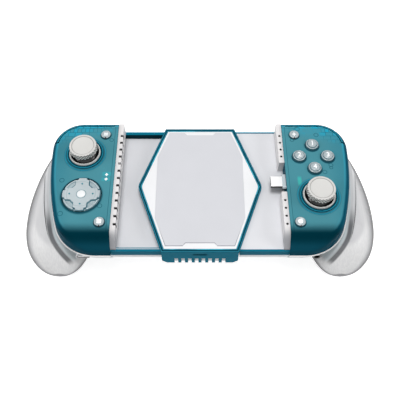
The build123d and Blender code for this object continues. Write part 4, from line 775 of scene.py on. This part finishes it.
valley_shade = times(tree, fall(tree, chain(tree, ("MINIMUM", *threads)), *valley_band), cap_side)
rim = times(tree, line_at(tree, reach, *rim_shade_line), ramp(tree, level, *rim_part))
# painted light makes the knurled side lighter than the top; painted shade darkens the knurl's valleys and a thin
# ring inside the rim
paint(stick_white, layered(
    tree, linear("D3D2CF"), (cap_side, linear("F4F3EF")), (valley_shade, linear("4A4946")), (rim, linear("9C9B98")),
))
dress(stick_white, "left_stick_cap", "right_stick_cap", "left_stick_ring", "right_stick_ring")


def joined(work, low, high):
    """Band of faces between two rings of points."""
    for step in range(len(low)):
        following = (step + 1) % len(low)
        work.faces.new((low[step], low[following], high[following], high[step]))


def lathe(work, profile, steps, centre, bulge=None):
    """Open surface of revolution; bulge may move each point in or out."""
    rings = []
    for radius, height in profile:
        ring = []
        for step in range(steps):
            angle = 2 * pi * step / steps
            reach = radius + (bulge(angle, radius, height) if bulge else 0)
            ring.append(work.verts.new((centre[0] + reach * cos(angle), centre[1] + reach * sin(angle), height)))
        rings.append(ring)
    for low, high in zip(rings, rings[1:]):
        joined(work, low, high)
    return rings


def close_ring(work, ring, height, centre, looks_up):
    """Fans a ring of points to a middle point."""
    middle = work.verts.new((*centre, height))
    for step in range(len(ring)):
        pair = (ring[step], ring[(step + 1) % len(ring)])
        work.faces.new((*pair, middle) if looks_up else (pair[1], pair[0], middle))


def turned_cup(work, profile, steps, centre, top):
    """Lathed cup, closed on top only."""
    close_ring(work, lathe(work, profile, steps, centre)[-1], top, centre, True)


def turned_solid(work, profile, steps, centre, top, bulge=None):
    """Lathed solid, closed on top and flat under its first point."""
    rings = lathe(work, profile, steps, centre, bulge)
    close_ring(work, rings[-1], top, centre, True)
    close_ring(work, rings[0], profile[0][1], centre, False)


def knurl(angle, radius, height):
    """Diamond pattern on the side only."""
    share = (height - cap_low) / (cap_high - cap_low)
    if share < knurl_start or share > knurl_end or radius < knurl_reach:
        return 0
    fade = min(1, (share - knurl_start) / knurl_fade, (knurl_end - share) / knurl_fade)
    turn = knurl_turns * angle
    lift = knurl_climb * (height - cap_low)
    return fade * knurl_depth * (abs(sin((turn + lift) / 2)) + abs(sin((turn - lift) / 2)) - 1.5)


cap_profile = list(cap_foot)
for row in range(side_rows):
    share = row / (side_rows - 1)
    cap_profile.append((side_radius - side_draw * share, cap_low + 0.0002 + share * 0.0026))
for row in range(1, rim_rows + 1):
    turn = row / rim_rows * pi / 2
    cap_profile.append((rim_radius - rim_draw * (1 - cos(turn)), rim_level + rim_draw * sin(turn)))
cap_profile += cap_dish
for side, centre in stick_places.items():
    cap = mesh_object(
        f"{side}_cap_dressed", lambda work: turned_solid(work, cap_profile, cap_steps, centre, dish_low, knurl),
        stick_white, rounded=True,
    )
    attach(cap, f"{side}_cap")
    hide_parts(f"{side}_stick_cap")


# Stick rings
# White wear rings of soft-touch plastic, moulded and pressed into the faces, one round each stick
# hole. Their ribs repeat round the outside, so a node tree sets them out.
ring_profile = [
    (0.00985, 0.0450), (0.00985, 0.0466), (0.00978, 0.0470), (0.0096, 0.0472), (0.0092, 0.0472),
    (0.00902, 0.0470), (0.00895, 0.0466), (0.00895, 0.0450),
]
ring_steps = 128
rib_radius = 0.00988
rib_count = 60
rib_size = (0.00022, 0.00045, 0.0012)
rib_middle = 0.0458
rib_tree, entry, leave = node_group(
    "ring_ribs",
    {
        "Radius": "NodeSocketFloat", "Ribs": "NodeSocketInt", "Rib Size": "NodeSocketVector",
        "Centre": "NodeSocketVector", "Finish": "NodeSocketMaterial",
    },
    {"Geometry": "NodeSocketGeometry"}, "GeometryNodeTree",
)
circle = wired(rib_tree, "GeometryNodeMeshCircle", Vertices=entry["Ribs"], Radius=entry["Radius"])
rib = wired(rib_tree, "GeometryNodeMeshCube", Size=entry["Rib Size"])
spots = rib_tree.nodes.new("GeometryNodeInputPosition")
outward = wired(rib_tree, "FunctionNodeAlignRotationToVector", Vector=spots.outputs["Position"])
outward.axis = "X"
sown = wired(
    rib_tree, "GeometryNodeInstanceOnPoints", Points=circle.outputs["Mesh"], Instance=rib.outputs["Mesh"],
    Rotation=outward.outputs["Rotation"],
)
real = wired(rib_tree, "GeometryNodeRealizeInstances", Geometry=sown.outputs["Instances"])
placed = wired(rib_tree, "GeometryNodeTransform", Geometry=real.outputs["Geometry"], Translation=entry["Centre"])
finished = wired(rib_tree, "GeometryNodeSetMaterial", Geometry=placed.outputs["Geometry"], Material=entry["Finish"])
rib_tree.links.new(finished.outputs["Geometry"], leave["Geometry"])


def plain_mesh(name, thing):
    """Keeps an evaluated object's shape as a plain mesh and removes the object."""
    bpy.context.view_layer.update()
    mesh = bpy.data.meshes.new_from_object(thing.evaluated_get(bpy.context.evaluated_depsgraph_get()))
    mesh.name = name
    bpy.data.objects.remove(thing)
    return mesh


def grown(name, tree, **values):
    """Runs a node tree with its named inputs and keeps the result."""
    seed = bpy.data.objects.new(name + "_seed", bpy.data.meshes.new(name + "_seed"))
    bpy.context.scene.collection.objects.link(seed)
    modifier = seed.modifiers.new("grow", "NODES")
    modifier.node_group = tree
    names = {item.name: item.identifier for item in tree.interface.items_tree if item.in_out == "INPUT"}
    for key, value in values.items():
        modifier[names[key.replace("_", " ")]] = value
    thing = bpy.data.objects.new(name, plain_mesh(name, seed))
    bpy.context.scene.collection.objects.link(thing)
    return thing


def closed_band(work, profile, steps, centre):
    """Lathed ring whose last circle meets its first."""
    rings = lathe(work, profile, steps, centre)
    joined(work, rings[-1], rings[0])


for side, centre in stick_places.items():
    ring = mesh_object(
        f"{side}_ring_dressed", lambda work: closed_band(work, ring_profile, ring_steps, centre), stick_white,
        rounded=True,
    )
    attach(ring, f"{side}_half")
    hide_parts(f"{side}_stick_ring")
    ribs = grown(
        f"{side}_ring_ribs", rib_tree, Radius=rib_radius, Ribs=rib_count, Rib_Size=rib_size,
        Centre=(*centre, rib_middle), Finish=stick_white,
    )
    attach(ribs, f"{side}_half")


# Action buttons
# Clear domed keys moulded over a milky core, dropped in from behind the face; each carries a
# plain numeral printed on its dome.
numerals = {"top": "1", "inner": "2", "outer": "3", "bottom": "4"}
numeral_size = 0.0045
numeral_depth = 0.0003
numeral_lift = 0.00006
key_steps = 72
core_steps = 48
core_top = 0.0460
key_low = 0.0422
key_top = 0.0472
crown_profile = [
    (0.0050, key_low), (0.0050, 0.0432), (0.00425, 0.0432), (0.00425, 0.0458), (0.00418, 0.0461),
    (0.00400, 0.0463), (0.00375, 0.04640), (0.00350, 0.04642), (0.00340, 0.04620), (0.00328, 0.04618),
    (0.00316, 0.04650), (0.00300, 0.04672), (0.00270, 0.04690), (0.0022, 0.04705), (0.0015, 0.04714),
    (0.0008, 0.04719),
]
key_turn = (0.55, 0.98)
core_profile = [(0.0030, 0.0436), (0.0034, 0.0448), (0.0033, 0.0456), (0.0027, 0.0460)]
clear_key = moulded("clear_keys", 0.1, grain=0.0, drift=0.1, Transmission_Weight=0.15, IOR=1.49)
tree = clear_key.node_tree
# painted shade darkens the keys' steep sides to teal
paint(clear_key, blend(tree, fall(tree, normal_in(tree)[2], *key_turn), linear("B6C2C6"), linear("41707D")))
milky = moulded("milky_core", 0.35, (0.86, 0.88, 0.89, 1))
# the print carries a faint painted glow
print_white_glow = moulded(
    "printed_white_glow", 0.4, (0.93, 0.94, 0.95, 1), Emission_Color=(1, 1, 1, 1), Emission_Strength=0.12,
)
dress(clear_key, *(f"{name}_action_button" for name in action_places))


def printed(name, text, size, centre, top, depth, finish):
    """Printed sign as a thin solid mesh at its place."""
    words = bpy.data.curves.new(name, "FONT")
    words.body = text
    words.size = size
    words.extrude = depth / 2
    words.offset = size * 0.02
    words.align_x = "CENTER"
    words.align_y = "CENTER"
    words.resolution_u = 6
    holder = bpy.data.objects.new(name + "_words", words)
    bpy.context.scene.collection.objects.link(holder)
    mesh = plain_mesh(name, holder)
    mesh.transform(Matrix.Translation((*centre, top - depth / 2)))
    mesh.materials.clear()
    mesh.materials.append(finish)
    thing = bpy.data.objects.new(name, mesh)
    bpy.context.scene.collection.objects.link(thing)
    return thing


for name, centre in action_places.items():
    key = mesh_object(
        f"{name}_key_dome", lambda work: turned_solid(work, crown_profile, key_steps, centre, key_top), clear_key,
        rounded=True,
    )
    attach(key, f"{name}_action_button")
    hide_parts(f"{name}_action_button")
    core = mesh_object(
        f"{name}_key_core", lambda work: turned_cup(work, core_profile, core_steps, centre, core_top), milky,
        rounded=True,
    )
    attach(core, f"{name}_action_button")
    sign = printed(
        f"{name}_key_numeral", numerals[name], numeral_size, centre, key_top + numeral_lift, numeral_depth,
        print_white_glow,
    )
    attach(sign, f"{name}_action_button")


# Menu keys
# Small clear keys in round wells, moulded. Each has a white moulded sign in its top, plain bars,
# a plus, a rounded square or a dot, and a black light stop at its lower edge.
menu_profile = [
    (0.0039, key_low), (0.0039, 0.0432), (0.0032, 0.0432), (0.0032, 0.0455), (0.00316, 0.04575),
    (0.00300, 0.04592), (0.0027, 0.0460), (0.0024, 0.0460), (0.0022, 0.04592),
]
menu_top = 0.0459
menu_steps = 64
sign_low = 0.04585
sign_high = 0.04602
menu_signs = {
    "left_upper": [(row, 0.0013, 0.00024, 0.00022, 0) for row in (-0.0008, 0, 0.0008)],
    "left_lower": [(0, 0.0014, 0.0014, 0.00035, 0)],
    "right_upper": [(0, 0.0014, 0.00030, 0.00022, 0), (0, 0.00030, 0.0014, 0.00022, 0.00001)],
    "right_lower": [(0, 0.0015, 0.0015, 0.0014, 0)],
}
stop_offset = 0.0029
stop_size = (0.0004, 0.00045, 0.0002)
stop_levels = (0.0450, 0.04605)
black_stop = moulded("light_stop", 0.3, (0.012, 0.012, 0.013, 1))
dress(clear_key, *(f"{name}_button" for name in menu_places))


def rounded_plate(work, centre, half_x, half_y, corner, low, high):
    """Flat plate with round corners."""
    rings = []
    for height in (low, high):
        ring = []
        for quarter in range(4):
            corner_x = (half_x - corner) * (1 if quarter in (0, 3) else -1)
            corner_y = (half_y - corner) * (1 if quarter in (0, 1) else -1)
            for step in range(7):
                angle = pi / 2 * (quarter + step / 6)
                ring.append(work.verts.new((
                    centre[0] + corner_x + corner * cos(angle), centre[1] + corner_y + corner * sin(angle), height)))
        rings.append(ring)
    joined(work, *rings)
    work.faces.new(rings[1])
    work.faces.new(list(reversed(rings[0])))


def sign_bars(work, bars, x, y):
    """Bars of one sign, each as row, half width, half height, corner and lift."""
    for row, half_x, half_y, corner, lift in bars:
        rounded_plate(work, (x, y + row), half_x, half_y, corner, sign_low + lift, sign_high + lift)


for name, (x, y) in menu_places.items():
    key = mesh_object(
        f"{name}_menu_key", lambda work: turned_solid(work, menu_profile, menu_steps, (x, y), menu_top), clear_key,
        rounded=True,
    )
    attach(key, f"{name}_button")
    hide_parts(f"{name}_button")
    sign = mesh_object(f"{name}_menu_sign", lambda work: sign_bars(work, menu_signs[name], x, y), print_white_glow)
    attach(sign, f"{name}_button")
    stop = mesh_object(
        f"{name}_light_stop",
        lambda work: rounded_plate(work, (x, y - stop_offset), *stop_size, *stop_levels), black_stop,
    )
    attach(stop, f"{name}_button")


# Direction pad
# One clear moulding, metallised underneath: a dished centre with a milky dot, four arms with a
# teal mark and a small tab between two notches, and sloping quadrants between the arms.
pad_radius = 0.01195
pad_steps = 288
pad_low = 0.04395
pad_middle = 0.04575
pad_reaches = [0.0026, 0.0028, 0.0029, 0.0030] + [0.0031 + 0.0001 * row for row in range(89)]
arm_edge = (0.0040, 0.0046)
arm_root = (0.0068, 0.0086)
arm_level = 0.0464
dish_depth = 0.00055
dish_band = (0.0030, 0.0100)
quadrant_low = 0.0449
quadrant_rise = 0.0005
tip_start = 0.0104
tip_full = 0.0106
tip_level = 0.0454
tab_edge = (0.0026, 0.0028)
tab_height = 0.0008
notch_edge = (0.0038, 0.0040)
notch_depth = 0.0009
ridge_reach = 0.0098
ridge_half = 0.0004
ridge_height = 0.00022
brim_start = 0.0113
brim_drop = 0.0006
dot_profile = [(0.0026, 0.0457), (0.00255, 0.0461), (0.0023, 0.04625)]
dot_top = 0.0462
dot_steps = 64
mark_reach = 0.0072
mark_profile = [(0.00055, 0.0460), (0.00055, 0.0464)]
mark_top = 0.0464
mark_steps = 24
crystal_rise = (0.0448, 0.0460)
crystal_turn = (0.70, 0.94)
inner_circle = (0.0029, 0.00022)
outer_circle = (0.0088, 0.00014)
crystal = moulded("metallised_crystal", 0.16, grain=0.0, drift=0.25, Specular_IOR_Level=0.3)
tree = crystal.node_tree
_, along, away, level = place_in(tree)
reach = reach_from(tree, in_plan(tree, along, away), pad_centre)
faint_circle = times(tree, line_at(tree, reach, *outer_circle), 0.5)
circles = either(tree, [line_at(tree, reach, *inner_circle), faint_circle])
# painted shade darkens the crystal's lower parts and its steep walls
paint(crystal, layered(
    tree, blend(tree, ramp(tree, level, *crystal_rise), linear("A8B8BD"), linear("BAC5C9")),
    (times(tree, fall(tree, normal_in(tree)[2], *crystal_turn), 0.85), linear("2F6C7B")),
    (times(tree, circles, 0.75), linear("5C8791")),
))
mark_teal = moulded("teal_marks", 0.4, linear("2C7F8E"))
dress(clear_key, "dpad")


def step_between(low, high, value):
    """Soft step from 0 below low to 1 above high."""
    share = min(1, max(0, (value - low) / (high - low)))
    return share * share * (3 - 2 * share)


def pad_height(x, y):
    """Height of the crystal over a point, counted from the pad's middle."""
    reach = sqrt(x * x + y * y)
    minor = min(abs(x), abs(y))
    arm = 1 - step_between(*arm_edge, minor) * step_between(*arm_root, reach)
    dish = dish_depth * (1 - step_between(*dish_band, reach))
    quadrant = quadrant_low + quadrant_rise * (1 - reach / pad_radius)
    height = quadrant + (arm_level - dish - quadrant) * arm
    if reach > tip_start:
        tab = 1 - step_between(*tab_edge, minor)
        notch = step_between(*tab_edge, minor) * (1 - step_between(*notch_edge, minor))
        height = tip_level + tab_height * tab - notch_depth * notch * step_between(tip_start, tip_full, reach)
    ridge = ridge_height * (1 - min(1, abs(reach - ridge_reach) / ridge_half))
    return height + ridge * (1 - arm) - brim_drop * step_between(brim_start, pad_radius, reach)


def build_pad(work):
    """Crystal laid out ring by ring, with a skirt and a flat underside."""
    rings = []
    for reach in (*pad_reaches, pad_radius):
        ring = []
        for step in range(pad_steps):
            angle = 2 * pi * step / pad_steps
            x, y = reach * cos(angle), reach * sin(angle)
            height = pad_low if reach == pad_radius else pad_height(x, y)
            ring.append(work.verts.new((pad_centre[0] + x, pad_centre[1] + y, height)))
        rings.append(ring)
    for inner, outer in zip(rings, rings[1:]):
        for step in range(pad_steps):
            following = (step + 1) % pad_steps
            work.faces.new((inner[step], outer[step], outer[following], inner[following]))
    close_ring(work, rings[0], pad_middle, pad_centre, True)
    close_ring(work, rings[-1], pad_low, pad_centre, False)


def build_marks(work):
    """Small dot on each of the four arms."""
    for x, y in ((1, 0), (-1, 0), (0, 1), (0, -1)):
        spot = (pad_centre[0] + x * mark_reach, pad_centre[1] + y * mark_reach)
        turned_cup(work, mark_profile, mark_steps, spot, mark_top)


pad = mesh_object("direction_pad", build_pad, crystal, rounded=True)
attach(pad, "dpad")
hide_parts("dpad")
dot = mesh_object(
    "direction_pad_dot", lambda work: turned_cup(work, dot_profile, dot_steps, pad_centre, dot_top), milky,
    rounded=True,
)
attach(dot, "dpad")
marks = mesh_object("direction_pad_marks", build_marks, mark_teal)
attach(marks, "dpad")
